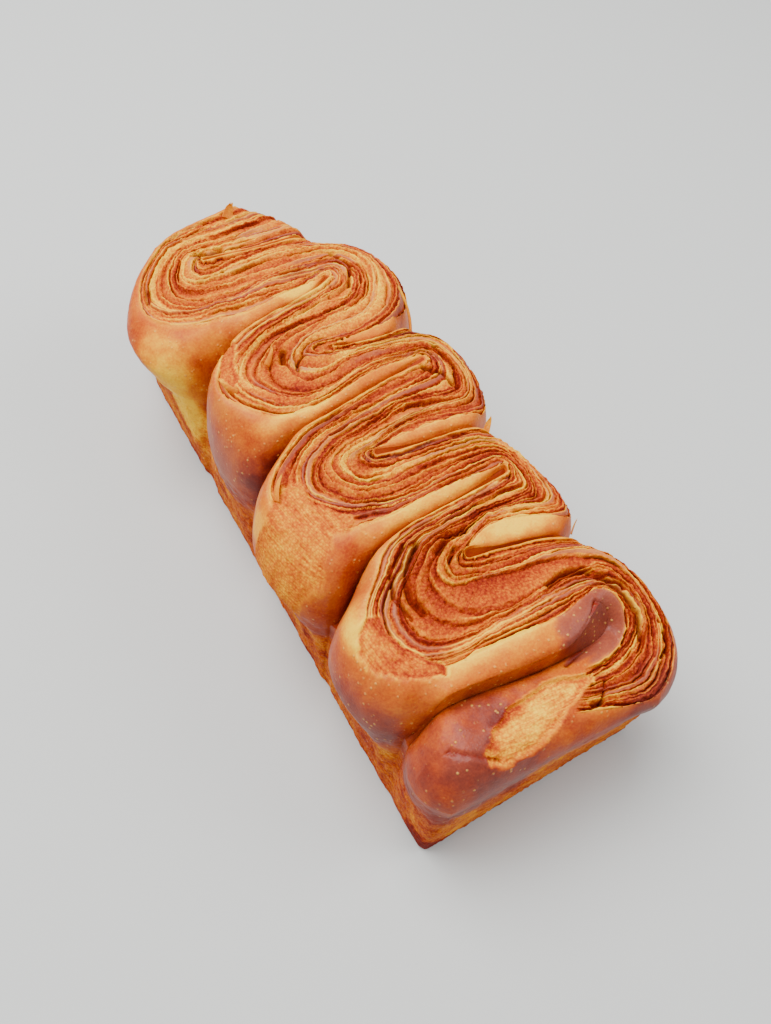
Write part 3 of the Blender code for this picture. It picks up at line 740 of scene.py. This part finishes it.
def bake_top(rows):
    """The finished top: its points, the way out of it, its masks and its place along and across the dough."""
    points, risen = top_frame(rows)
    relief, masks, run = dress_top(points, rows)
    out = -outward(points)
    out *= np.sign(np.median(out[..., 2]))
    upward = np.array([0.0, 0.0, 1.0])
    first, last = SKIN_COLUMNS, SKIN_COLUMNS + LAYER_COLUMNS
    way = out.copy()
    way[:, first : last + 1] = upward
    edge = np.zeros(points.shape[:2])
    edge[:, 0] = edge[:, -1] = 1
    edge[0] = edge[-1] = 1
    settled = np.clip(risen * 2.5, 0, 1)[..., None]
    points = points + way * relief[..., None] * settled * (1 - edge[..., None])
    points = notched_end(points)
    steps = np.linalg.norm(np.diff(points, axis=1), axis=2)
    across = np.cumsum(np.concatenate([np.zeros((len(points), 1)), steps], 1), 1)
    place = np.stack([np.broadcast_to(run, across.shape), across], -1)
    return points, out, masks, place


# The side the tin shaped, from the lobes down to the base.

# Down the side: a share of the height, and how much of the lobes' swelling and of the hollows is left.
SIDE = np.array([
    (1.0, 1.0, 1.0),
    (0.92, 0.95, 0.92),
    (0.83, 0.62, 0.80),
    (0.74, 0.25, 0.66),
    (0.62, 0.05, 0.50),
    (0.35, 0.0, 0.30),
    (0.05, 0.0, 0.15),
    (0.0, 0.0, 0.15),
])


def tin_wall(x, y, grow):
    """The points of the tin's wall straight out from points of the lobes' outline."""
    half = TIN_WIDTH / 2
    anchor = np.stack([np.full_like(x, half), np.clip(y, half, TIN_LENGTH - half)], -1)
    low = np.stack([-grow, TIN_NEAR - grow], -1)
    high = np.stack([TIN_WIDTH + grow, TIN_LENGTH + grow], -1)
    way = np.stack([x, y], -1) - anchor
    side = np.where(way > 0, high, low)
    safe = np.where(np.abs(way) > 1e-9, way, 1e-9)
    steps = np.where(np.abs(way) > 1e-9, (side - anchor) / safe, np.inf)
    hit = anchor + way * steps.min(-1)[..., None]
    slack = (way[..., 0] > 0) & (way[..., 1] > 0)
    radius = np.where(slack, SLACK_CORNER, TIN_CORNER)[..., None]
    inner = np.clip(hit, low + radius, high - radius)
    out = hit - inner
    round_here = (np.abs(out) > 1e-9).all(-1)[..., None]
    length = np.maximum(np.linalg.norm(out, axis=-1, keepdims=True), 1e-9)
    return np.where(round_here, inner + out * radius / length, hit), anchor


def outline_rows(rows, marks, columns):
    """The points round the top's edge as (row, column), anticlockwise from above."""
    end, b_column = len(rows["a"]) - 1, columns - 1
    left = sorted(m[1:] for m in marks if m[0])
    right = sorted(m[1:] for m in marks if not m[0])
    loop = [(0, c) for c in range(columns)]
    start = 1
    for first, last in right:
        loop += [(r, b_column) for r in range(start, first + 1)]
        start = last
    loop += [(r, b_column) for r in range(start, end + 1)]
    loop += [(end, c) for c in range(b_column - 1, -1, -1)]
    stop = end - 1
    for first, last in reversed(left):
        loop += [(r, 0) for r in range(stop, last - 1, -1)]
        stop = first
    return np.array(loop)


# How many times shorter the streaks are round the side than along the layers.
SIDE_STREAKS = 15
# Paler and darker patches on the side that the tin shaped: middle and half sizes, and how much paler.
SIDE_PATCHES = (
    ((0, 26, 38), (9, 7, 12), 0.2),
    ((-1, 12, 26), (8, 4, 22), -0.12),
    ((0, 0, 8), (9, 12, 11), -0.4),
    ((2, 34, 20), (10, 14, 18), -0.2),
    ((0, 72, 40), (8, 9, 14), 0.05),
    ((6, 76, 20), (10, 14, 16), -0.25),
    ((0, 119, 40), (8, 10, 14), 0.3),
    ((3, 124, 18), (8, 14, 12), -0.12),
    ((3, 160, 40), (8, 9, 15), 0.3),
    ((-2, 178, 36), (12, 18, 20), 0.34),
    ((40, -4, 44), (34, 6, 6), 0.3),
    ((10, -2, 30), (12, 6, 14), 0.16),
    ((60, -4, 18), (34, 6, 16), -0.12),
)


def bake_side(top, loop):
    """The side wall from the top's edge down to the base."""
    edge = top[loop[:, 0], loop[:, 1]]
    share = np.concatenate([np.linspace(1, 0.06, WALL_RINGS - 7), np.linspace(0.05, 0, 8)])
    swell_left = eased(np.interp(share, SIDE[::-1, 0], SIDE[::-1, 1]), 3)
    hollow_left = eased(np.interp(share, SIDE[::-1, 0], SIDE[::-1, 2]), 3)
    swell_left[0] = hollow_left[0] = 1
    x, y, z = (np.broadcast_to(edge[None, :, i], (len(share), len(edge))) for i in range(3))
    height = z * share[:, None]
    low = np.clip(1 - height / BASE_ROUND, 0, 1)
    grow = TIN_FLARE * height - BASE_ROUND * (1 - np.sqrt(1 - low**2))
    on_tin, anchor = tin_wall(x, y, grow)
    at = np.stack([x, y], -1)
    outside = np.linalg.norm(at - anchor, axis=-1) - np.linalg.norm(on_tin - anchor, axis=-1)
    left_over = hollow_left[:, None] + (swell_left - hollow_left)[:, None] * smooth(outside / 3)
    at = on_tin + (at - on_tin) * left_over[..., None]
    way = at - anchor
    way /= np.linalg.norm(way, axis=-1, keepdims=True)
    a, b = at[..., 0] + 0.4 * height, at[..., 1] - 0.3 * height
    rough = cloudy(61, a / 7, b / 7, height / 6) - 0.5
    scale = cloudy(64, a / 2.2, b / 2.2, height / 1.8) - 0.5
    on_wall = smooth((1 - share) / 0.12)[:, None] * smooth(height / 2)
    at = at + way * ((1.5 * rough + 0.7 * scale) * on_wall - 0.35 * on_wall)[..., None]
    points = np.concatenate([at, height[..., None]], -1)
    out = outward(points)
    out *= np.sign(np.median(np.sum(out[..., :2] * way, -1)))
    below_lobe = smooth((0.86 - share) / 0.12)[:, None]
    tone = 0.34 + (0.16 + 0.6 * (cloudy(67, a / 9, b / 9, height / 8) - 0.5) + 0.4 * scale) * below_lobe
    crumb = below_lobe * (0.6 + 0.4 * cloudy(70, a / 6, b / 6, height / 6))
    glaze = (1 - below_lobe) * 0.6 * cloudy(73, a / 14, b / 14, height / 12)
    # Painted shade in small pits on the side.
    crevice_shade = 0.25 * smooth((0.42 - cloudy(76, a / 3.5, b / 3.5, height / 2.6)) / 0.1) * below_lobe
    for i, (centre, radii, paler) in enumerate(SIDE_PATCHES):
        tone = tone + paler * spot(points, centre, radii, 0.3, 200 + 3 * i, 0.7)
    tone = tone - 0.25 * smooth(1 - height / 7) - 0.12 * (1 - below_lobe)
    tone, glaze = baked(points, tone, glaze)
    round_loaf = np.concatenate([[0], np.cumsum(np.linalg.norm(np.diff(edge[:, :2], axis=0), axis=1))])
    place = np.stack(np.broadcast_arrays(SIDE_STREAKS * round_loaf[None, :], height), -1)
    masks = {"tone": np.clip(tone, 0, 1), "glaze": glaze, "crumb": np.clip(crumb, 0, 1), "crevice_shade": crevice_shade}
    return points, out, masks, place


# Making meshes.


def in_frame(points):
    """Millimetres from the tin's corner to metres in the row frame."""
    moved = np.asarray(points, float) - np.array([LOAF_MIDDLE[0], LOAF_MIDDLE[1], 0.0])
    return moved / 1000


def make_mesh(name, points, faces, out, masks, place):
    """A mesh from points and quads, with the crust's masks and its own map along and across the dough."""
    mesh = bpy.data.meshes.new(name)
    mesh.vertices.add(len(points))
    mesh.vertices.foreach_set("co", in_frame(points).astype(np.float32).ravel())
    mesh.loops.add(faces.size)
    mesh.loops.foreach_set("vertex_index", faces.astype(np.int32).ravel())
    mesh.polygons.add(len(faces))
    mesh.polygons.foreach_set("loop_start", np.arange(0, faces.size, 4, dtype=np.int32))
    mesh.polygons.foreach_set("use_smooth", np.ones(len(faces), dtype=bool))
    mesh.update(calc_edges=True)
    for mask, values in masks.items():
        layer = mesh.attributes.new(mask, "FLOAT", "POINT")
        layer.data.foreach_set("value", values.astype(np.float32).ravel())
    layer = mesh.attributes.new("out", "FLOAT_VECTOR", "POINT")
    layer.data.foreach_set("vector", out.astype(np.float32).ravel())
    layer_map = mesh.uv_layers.new(name="dough")
    layer_map.data.foreach_set("uv", (place / 1000)[faces.ravel()].astype(np.float32).ravel())
    mesh.validate()
    thing = bpy.data.objects.new(name, mesh)
    bpy.context.scene.collection.objects.link(thing)
    return thing


def grid_faces(rows, columns, closed=False):
    """Quads over a grid of points. A closed grid joins its last column to its first."""
    r = np.arange(rows - 1)[:, None]
    c = np.arange(columns if closed else columns - 1)[None, :]
    d = (c + 1) % columns
    corners = [r * columns + c, r * columns + d, (r + 1) * columns + d, (r + 1) * columns + c]
    return np.stack(np.broadcast_arrays(*corners), -1).reshape(-1, 4)


def patch(name, points, out, masks, place, faces):
    """One piece from some quads of a grid, with only the points it uses."""
    used, packed = np.unique(faces, return_inverse=True)
    flat = {mask: values.reshape(-1)[used] for mask, values in masks.items()}
    faces = packed.reshape(-1, 4)
    points, out, place = points.reshape(-1, 3)[used], out.reshape(-1, 3)[used], place.reshape(-1, 2)[used]
    a, b, c = (points[faces[:, i]] for i in range(3))
    if np.sum(np.cross(b - a, c - a) * out[faces[:, 0]]) < 0:
        faces = faces[:, ::-1]
    return make_mesh(name, points, faces, out, flat, place)


# Nodes, for shapes and for finishes.

MATH = "ShaderNodeMath"


def linear(hex_code):
    """An sRGB hex colour as linear red, green, blue and alpha."""
    values = [int(hex_code[i : i + 2], 16) / 255 for i in (1, 3, 5)]
    return [v / 12.92 if v <= 0.04045 else ((v + 0.055) / 1.055) ** 2.4 for v in values] + [1.0]


def add_node(tree, kind, settings=None, **inputs):
    """Adds a node. settings are its own properties; inputs are values or the sockets that feed it."""
    node = tree.nodes.new(kind)
    for key, value in (settings or {}).items():
        setattr(node, key, value)
    for key, value in inputs.items():
        numbered = key[0] == "i" and key[1:].isdigit()
        socket = node.inputs[int(key[1:]) if numbered else key.replace("_", " ")]
        if isinstance(value, bpy.types.NodeSocket):
            tree.links.new(value, socket)
        else:
            socket.default_value = value
    return node


def crumb_relief_tree(name):
    """Raises and pits the crust along the way out of it: bubbles where it is crumb, and a slight grain."""
    tree = bpy.data.node_groups.new(name, "GeometryNodeTree")
    tree.interface.new_socket("Geometry", in_out="INPUT", socket_type="NodeSocketGeometry")
    for label in ("Bubble size", "Bubble depth", "Grain size", "Grain depth"):
        tree.interface.new_socket(label, in_out="INPUT", socket_type="NodeSocketFloat")
    tree.interface.new_socket("Crust", in_out="INPUT", socket_type="NodeSocketMaterial")
    tree.interface.new_socket("Geometry", in_out="OUTPUT", socket_type="NodeSocketGeometry")
    given = tree.nodes.new("NodeGroupInput").outputs
    result = tree.nodes.new("NodeGroupOutput")
    where = add_node(tree, "GeometryNodeInputPosition").outputs[0]
    crumb = add_node(tree, "GeometryNodeInputNamedAttribute", {"data_type": "FLOAT"}, Name="crumb").outputs[0]
    way = add_node(tree, "GeometryNodeInputNamedAttribute", {"data_type": "FLOAT_VECTOR"}, Name="out")
    way = way.outputs[0]
    per_bubble = add_node(tree, MATH, {"operation": "DIVIDE"}, i0=1.0, i1=given["Bubble size"])
    per_bubble = per_bubble.outputs[0]
    bubbles = add_node(tree, "ShaderNodeTexVoronoi", {"feature": "SMOOTH_F1"}, Vector=where, Scale=per_bubble,
                       Smoothness=0.35).outputs["Distance"]
    pit = add_node(tree, MATH, {"operation": "SUBTRACT"}, i0=0.45, i1=bubbles).outputs[0]
    pit = add_node(tree, MATH, {"operation": "MULTIPLY"}, i0=pit, i1=crumb).outputs[0]
    pit = add_node(tree, MATH, {"operation": "MULTIPLY"}, i0=pit, i1=given["Bubble depth"]).outputs[0]
    per_grain = add_node(tree, MATH, {"operation": "DIVIDE"}, i0=1.0, i1=given["Grain size"]).outputs[0]
    grain = add_node(tree, "ShaderNodeTexNoise", None, Vector=where, Scale=per_grain, Detail=3.0).outputs[0]
    grain = add_node(tree, MATH, {"operation": "SUBTRACT"}, i0=grain, i1=0.5).outputs[0]
    grain = add_node(tree, MATH, {"operation": "MULTIPLY"}, i0=grain, i1=given["Grain depth"]).outputs[0]
    rise = add_node(tree, MATH, {"operation": "SUBTRACT"}, i0=grain, i1=pit).outputs[0]
    offset = add_node(tree, "ShaderNodeVectorMath", {"operation": "SCALE"}, i0=way, Scale=rise).outputs[0]
    moved = add_node(tree, "GeometryNodeSetPosition", None, Geometry=given["Geometry"], Offset=offset)
    moved = moved.outputs[0]
    whole = add_node(tree, "GeometryNodeRealizeInstances", None, Geometry=moved).outputs[0]
    dressed = add_node(tree, "GeometryNodeSetMaterial", None, Geometry=whole, Material=given["Crust"])
    tree.links.new(dressed.outputs[0], result.inputs["Geometry"])
    return tree


def run_tree(thing, tree, **values):
    """Runs a node tree on a piece with the given inputs and keeps the result as a plain mesh."""
    modifier = thing.modifiers.new(tree.name, "NODES")
    modifier.node_group = tree
    for item in tree.interface.items_tree:
        if item.in_out == "INPUT" and item.name.replace(" ", "_").lower() in values:
            modifier[item.identifier] = values[item.name.replace(" ", "_").lower()]
    bpy.context.view_layer.update()
    seen = thing.evaluated_get(bpy.context.evaluated_depsgraph_get())
    mesh = bpy.data.meshes.new_from_object(seen)
    thing.modifiers.remove(modifier)
    thing.data = mesh
    return thing


# The colours of the crust from dark to pale, by its tone: bare dough, and skin under egg wash.
BAKED_DOUGH = (
    (0.0, "#68160e"), (0.16, "#862410"), (0.32, "#a43c10"), (0.48, "#be5a0e"), (0.64, "#d07608"),
    (0.8, "#e4980a"), (1.0, "#f4be20"),
)
EGG_WASH = ((0.0, "#66281e"), (0.4, "#8e422c"), (0.8, "#b4603a"))
BLISTER = "#dca24c"
# Painted shade, dark red, laid into the gaps between layers, the slits, the grooves' floors and the side's
# pits.
CREVICE_SHADE = "#7a1c0c"
# Sizes of its patterns, in metres.
STREAK_LENGTH = 0.009
STREAK_WIDTH = 0.0006
PORE_SIZE = 0.0009
MOTTLE_SIZE = 0.005
FINE_GRAIN = 0.0008
BLISTER_SPACING = 0.0024


def crust_finish():
    """Laminated dough baked in a tin under an egg wash: satin brown skin, and dry porous crumb where cut."""
    material = bpy.data.materials.new("egg_washed_laminated_crust")
    material.use_nodes = True
    tree = material.node_tree
    tree.nodes.clear()
    output = tree.nodes.new("ShaderNodeOutputMaterial")
    shader = tree.nodes.new("ShaderNodeBsdfPrincipled")
    tree.links.new(shader.outputs[0], output.inputs["Surface"])
    tone, glaze, crumb, crevice_shade = (
        add_node(tree, "ShaderNodeAttribute", {"attribute_name": mask}).outputs["Fac"]
        for mask in ("tone", "glaze", "crumb", "crevice_shade")
    )
    place = add_node(tree, "ShaderNodeTexCoord").outputs["Object"]
    dough = add_node(tree, "ShaderNodeUVMap", {"uv_map": "dough"}).outputs[0]
    # Streaks run along the dough and are narrow across it.
    stretch = (1 / STREAK_LENGTH, 1 / STREAK_WIDTH, 1.0)
    stretched = add_node(tree, "ShaderNodeMapping", None, Vector=dough, Scale=stretch).outputs[0]
    streaks = add_node(tree, "ShaderNodeTexNoise", {"noise_dimensions": "2D"}, Vector=stretched, Scale=1.0,
                       Detail=3.0, Roughness=0.6).outputs[0]
    pores = add_node(tree, "ShaderNodeTexVoronoi", None, Vector=place, Scale=1 / PORE_SIZE)
    pores = pores.outputs["Distance"]
    mottle = add_node(tree, "ShaderNodeTexNoise", None, Vector=place, Scale=1 / MOTTLE_SIZE, Detail=5.0,
                      Roughness=0.6).outputs[0]
    fine = add_node(tree, "ShaderNodeTexNoise", None, Vector=place, Scale=1 / FINE_GRAIN, Detail=2.0)
    fine = fine.outputs[0]
    # Pale blisters under a millimetre across, on the washed skin, where the mottling gathers them.
    spots = add_node(tree, "ShaderNodeTexVoronoi", None, Vector=place, Scale=1 / BLISTER_SPACING)
    blisters = add_node(tree, MATH, {"operation": "SUBTRACT"}, i0=1.0, i1=crumb).outputs[0]
    for pattern, none_at, full_at in ((spots.outputs["Distance"], 0.24, 0.1), (mottle, 0.42, 0.56)):
        share = add_node(tree, "ShaderNodeMapRange", None, Value=pattern, From_Min=none_at, From_Max=full_at)
        blisters = add_node(tree, MATH, {"operation": "MULTIPLY"}, i0=blisters, i1=share.outputs[0])
        blisters = blisters.outputs[0]

    # The tone and the bump's height: each pattern less its middle, times its amount, where it shows.
    sums = []
    for total, patterns in (
        (tone, ((streaks, 0.5, 0.5, crumb), (mottle, 0.5, 0.34, 1.0), (pores, 0.4, -0.34, crumb),
                (fine, 0.5, 0.3, 1.0))),
        (blisters, ((pores, 0.5, 0.5, crumb), (fine, 0.5, 0.4, 1.0), (streaks, 0.5, 0.8, crumb))),
    ):
        for pattern, middle, amount, where in patterns:
            swing = add_node(tree, MATH, {"operation": "SUBTRACT"}, i0=pattern, i1=middle).outputs[0]
            swing = add_node(tree, MATH, {"operation": "MULTIPLY"}, i0=swing, i1=amount).outputs[0]
            total = add_node(tree, MATH, {"operation": "MULTIPLY_ADD"}, i0=swing, i1=where, i2=total)
            total = total.outputs[0]
        sums.append(total)
    shade, height = sums

    ramps = []
    for stops in (BAKED_DOUGH, EGG_WASH):
        ramp = add_node(tree, "ShaderNodeValToRGB", None, i0=shade)
        while len(ramp.color_ramp.elements) < len(stops):
            ramp.color_ramp.elements.new(0.5)
        for element, (position, colour) in zip(ramp.color_ramp.elements, stops):
            element.position = position
            element.color = linear(colour)
        ramps.append(ramp.outputs[0])
    brown, washed = ramps
    # Over the brown go the egg wash, the pale blisters and the painted shade in the gaps.
    layers = ((glaze, 0.85, washed), (blisters, 0.6, linear(BLISTER)), (crevice_shade, 0.85, linear(CREVICE_SHADE)))
    for where, most, over in layers:
        share = add_node(tree, MATH, {"operation": "MULTIPLY"}, i0=where, i1=most).outputs[0]
        brown = add_node(tree, "ShaderNodeMix", {"data_type": "RGBA"}, i0=share, i6=brown, i7=over).outputs[2]
    tree.links.new(brown, shader.inputs["Base Color"])
    for where, least, most, socket in (
        (crumb, 0.4, 0.72, "Roughness"),
        (glaze, 0.08, 0.3, "Specular IOR Level"),
    ):
        ranged = add_node(tree, "ShaderNodeMapRange", None, Value=where, To_Min=least, To_Max=most).outputs[0]
        tree.links.new(ranged, shader.inputs[socket])
    shader.inputs["IOR"].default_value = 1.45
    shader.inputs["Subsurface Weight"].default_value = 0.12
    shader.inputs["Subsurface Radius"].default_value = (0.9, 0.4, 0.15)
    shader.inputs["Subsurface Scale"].default_value = 0.0015
    bump = add_node(tree, "ShaderNodeBump", None, Strength=0.55, Distance=0.00045, Height=height).outputs[0]
    tree.links.new(bump, shader.inputs["Normal"])
    return material


# The loaf itself.


def groove_floors(rows, marks, top, out, masks, place, columns):
    """The bottoms of the grooves, from one side of each to the other."""
    strips = []
    for on_left, first, last in marks:
        c = 0 if on_left else columns - 1
        near = np.arange(first, (first + last) // 2)
        far = last - (near - first)
        near, far = near[near < far - 1], far[: len(near[near < far - 1])]
        corners = [near, near + 1, far - 1, far]
        strips.append(np.stack([i * columns + c for i in corners], -1))
    faces = np.concatenate(strips)
    up = np.zeros_like(out)
    up[..., 2] = 1
    shallow = np.max([spot(top, *place_and_size, 0.1, 500, 0.3) for place_and_size in SHALLOW_FLOORS], axis=0)
    # The floors are painted with dark shade, except where they are shallow skin.
    dark = dict(masks, crevice_shade=0.9 * (1 - shallow), glaze=masks["glaze"] * shallow)
    return patch("groove_floors", top, up, dark, place, faces)


def build_loaf(crust):
    """Every piece of the loaf, at true size."""
    rows, marks = fold_ribbon()
    top, out, masks, place = bake_top(rows)
    count, columns = top.shape[:2]
    loop = outline_rows(rows, marks, columns)
    relief = crumb_relief_tree("crumb_relief")
    sizes = dict(bubble_size=0.0016, bubble_depth=0.001, grain_size=0.004, grain_depth=0.0005, crust=crust)
    made = []
    faces = grid_faces(count, columns)
    for piece, part in enumerate(np.array_split(faces, TOP_PIECES)):
        thing = patch(f"folded_layers_{piece + 1}", top, out, masks, place, part)
        made.append(run_tree(thing, relief, **sizes))
    made.append(groove_floors(rows, marks, top, out, masks, place, columns))
    made[-1].data.materials.append(crust)
    side, side_out, side_masks, side_place = bake_side(top, loop)
    edge = (loop[:, 0], loop[:, 1])
    side_out[0] = out[edge]
    side_out *= smooth(side[..., 2:] / 3)
    blend = smooth(np.linspace(0, 1, BLENDED_RINGS))[:, None]
    for mask, values in side_masks.items():
        values[:BLENDED_RINGS] = masks[mask][edge] * (1 - blend) + values[:BLENDED_RINGS] * blend
    around = len(loop)
    faces = grid_faces(len(side), around, closed=True)
    half = faces.reshape(len(side) - 1, around, 4)
    for name, part in (("near_side", half[:, : around // 2]), ("far_side", half[:, around // 2 :])):
        thing = patch(name, side, side_out, side_masks, side_place, part.reshape(-1, 4))
        made.append(run_tree(thing, relief, **sizes))
    made.append(loaf_base(side[-1], crust))
    made += [flake(number, *sizes_of_flake, crust) for number, sizes_of_flake in enumerate(FLAKES)]
    for thing in made:
        keep_inside(thing)
    return made


def keep_inside(thing):
    """Holds every point of a piece within the plain solid's box."""
    count = len(thing.data.vertices)
    points = np.empty(count * 3)
    thing.data.vertices.foreach_get("co", points)
    low, high = np.array(solid_box)
    points = np.clip(points.reshape(-1, 3), low, high - BOX_MARGIN)
    thing.data.vertices.foreach_set("co", points.ravel())
    thing.data.update()


# Flakes of skin that stand up, in millimetres: foot, tip, half width at the foot, and how far and which way
# the middle bends.
FLAKES = (
    ((82.6, 153.0, 68.0), (84.8, 167.0, 77.0), 1.1, (1.2, -0.4, 0.0)),
    ((78.5, 97.0, 73.0), (81.6, 99.5, 76.6), 1.2, (0.5, 0.5, 0.3)),
    ((82.5, 51.0, 69.0), (85.8, 53.5, 72.0), 1.8, (0.5, 0.6, 0.5)),
    ((24.0, 157.0, 74.2), (28.5, 161.5, 76.8), 1.2, (0.3, -0.3, 0.5)),
    ((1.5, 104.5, 73.5), (6.5, 110.5, 77.2), 1.6, (-0.4, 0.4, 0.6)),
    ((9.0, 150.0, 74.5), (5.5, 157.0, 77.2), 1.5, (-0.6, -0.4, 0.4)),
    ((45.0, 236.5, 72.5), (48.5, 239.5, 76.6), 2.6, (0.1, 0.7, 0.0)),
)


def flake(number, foot, tip, half, bend, crust):
    """One thin flake of skin, wide at its foot and ragged towards its tip."""
    foot, tip, bend = np.array(foot), np.array(tip), np.array(bend)
    t, u = np.linspace(0, 1, 25)[:, None, None], np.linspace(-1, 1, 13)[None, :, None]
    wide = np.cross(tip - foot, bend)
    wide /= np.linalg.norm(wide)
    ragged = 0.35 * (cloudy(600 + 3 * number, 5 * t, 3 * u) - 0.5)
    middle = foot + (tip - foot) * (t + ragged * t * t) + bend * 4 * t * (1 - t)
    sheet = middle + wide * half * u * (1 - 0.75 * t**1.5) - 0.5 * bend * u * u
    thick = 0.16 * bend / np.linalg.norm(bend) * (1 - 0.6 * t)
    both = np.concatenate([sheet + thick, (sheet - thick)[:, ::-1]], 1)
    rows, columns = both.shape[:2]
    faces = grid_faces(rows, columns, closed=True)
    half_way = columns // 2
    c = np.arange(half_way - 1)
    for r in (0, rows - 1):
        start = r * columns
        cap = [start + c, start + c + 1, start + columns - 2 - c, start + columns - 1 - c]
        faces = np.concatenate([faces, np.stack(cap, -1)[:, :: 1 if r else -1]])
    facing = np.broadcast_to(bend / np.linalg.norm(bend), sheet.shape)
    out = np.concatenate([facing, -facing], 1)
    pale = np.broadcast_to(0.6 + 0.2 * t[..., 0], (rows, columns))
    none = np.zeros((rows, columns))
    masks = {"tone": pale, "glaze": none, "crumb": none + 0.3, "crevice_shade": none}
    thing = make_mesh(f"skin_flake_{number + 1}", both.reshape(-1, 3), faces, out.reshape(-1, 3),
                      {name: values.ravel() for name, values in masks.items()}, both[..., :2].reshape(-1, 2))
    thing.data.materials.append(crust)
    return thing


def loaf_base(edge, crust):
    """The flat base, where the loaf stood in the tin."""
    mesh = bpy.data.meshes.new("base")
    middle = edge.mean(axis=0)
    points = np.concatenate([edge, [middle]])
    rim = len(edge)
    faces = [(rim, (i + 1) % rim, i) for i in range(rim)]
    mesh.from_pydata(in_frame(points).tolist(), [], faces)
    for mask, value in (("tone", 0.4), ("glaze", 0.2), ("crumb", 0.6), ("crevice_shade", 0.0)):
        layer = mesh.attributes.new(mask, "FLOAT", "POINT")
        layer.data.foreach_set("value", np.full(len(points), value, np.float32))
    layer_map = mesh.uv_layers.new(name="dough")
    corners = np.array(faces).ravel()
    layer_map.data.foreach_set("uv", in_frame(points)[corners, :2].astype(np.float32).ravel())
    mesh.materials.append(crust)
    thing = bpy.data.objects.new("base", mesh)
    bpy.context.scene.collection.objects.link(thing)
    return thing


# The floor, the light and the camera.


def add_stage():
    """A plain pale floor and soft studio light."""
    mesh = bpy.data.meshes.new("floor")
    reach = 4.0
    corners = [(-reach, -reach, 0), (reach, -reach, 0), (reach, reach, 0), (-reach, reach, 0)]
    mesh.from_pydata(corners, [], [(0, 1, 2, 3)])
    floor = bpy.data.objects.new("floor", mesh)
    material = bpy.data.materials.new("pale_matt_floor")
    material.use_nodes = True
    shader = material.node_tree.nodes["Principled BSDF"]
    shader.inputs["Base Color"].default_value = linear("#bfc0bd")
    shader.inputs["Roughness"].default_value = 0.8
    mesh.materials.append(material)
    bpy.context.scene.collection.objects.link(floor)
    world = bpy.data.worlds.new("soft_room")
    bpy.context.scene.world = world
    world.use_nodes = True
    background = world.node_tree.nodes["Background"]
    background.inputs["Color"].default_value = linear("#f2f4f8")
    background.inputs["Strength"].default_value = 0.7
    # Each light's place and size in metres, and its power in watts.
    for name, place, size, power in (
        ("overhead_softbox", (-0.25, 0.35, 1.1), 0.9, 29.0),
        ("side_softbox", (0.9, -0.5, 0.8), 0.7, 8.0),
    ):
        light = bpy.data.lights.new(name, "AREA")
        light.size = size
        light.energy = power
        lamp = bpy.data.objects.new(name, light)
        lamp.location = place
        way = Vector((0, 0, 0.04)) - Vector(place)
        lamp.rotation_euler = way.to_track_quat("-Z", "Y").to_euler()
        bpy.context.scene.collection.objects.link(lamp)


# The camera's place in millimetres from the tin's corner, and its turn, height angle and roll in radians.
CAMERA_PLACE = (-56.605, -35.347, 307.775)
CAMERA_TURN = -0.630406
CAMERA_HEIGHT = 1.006215
CAMERA_ROLL = 0.122868
CAMERA_LENS = 30.234


def add_camera():
    """The camera, where the loaf was photographed from: above its near end."""
    c, s = math.cos(CAMERA_HEIGHT), math.sin(CAMERA_HEIGHT)
    back = Vector((math.sin(CAMERA_TURN) * c, -math.cos(CAMERA_TURN) * c, s))
    level = (-back).cross(Vector((0, 0, 1))).normalized()
    upright = level.cross(-back)
    right = level * math.cos(CAMERA_ROLL) + upright * math.sin(CAMERA_ROLL)
    up = upright * math.cos(CAMERA_ROLL) - level * math.sin(CAMERA_ROLL)
    data = bpy.data.cameras.new("camera")
    data.lens = CAMERA_LENS
    data.sensor_width = 36.0
    data.clip_start = 0.01
    data.clip_end = 20.0
    camera = bpy.data.objects.new("camera", data)
    place = in_frame(CAMERA_PLACE)
    turn = Matrix((right, up, back)).transposed().to_4x4()
    camera.matrix_world = Matrix.Translation(Vector(place)) @ turn
    bpy.context.scene.collection.objects.link(camera)
    bpy.context.scene.camera = camera


def main():
    crust = crust_finish()
    for piece in build_loaf(crust):
        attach(piece, "root")
        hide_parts("brioche_loaf")
    add_stage()
    add_camera()


main()
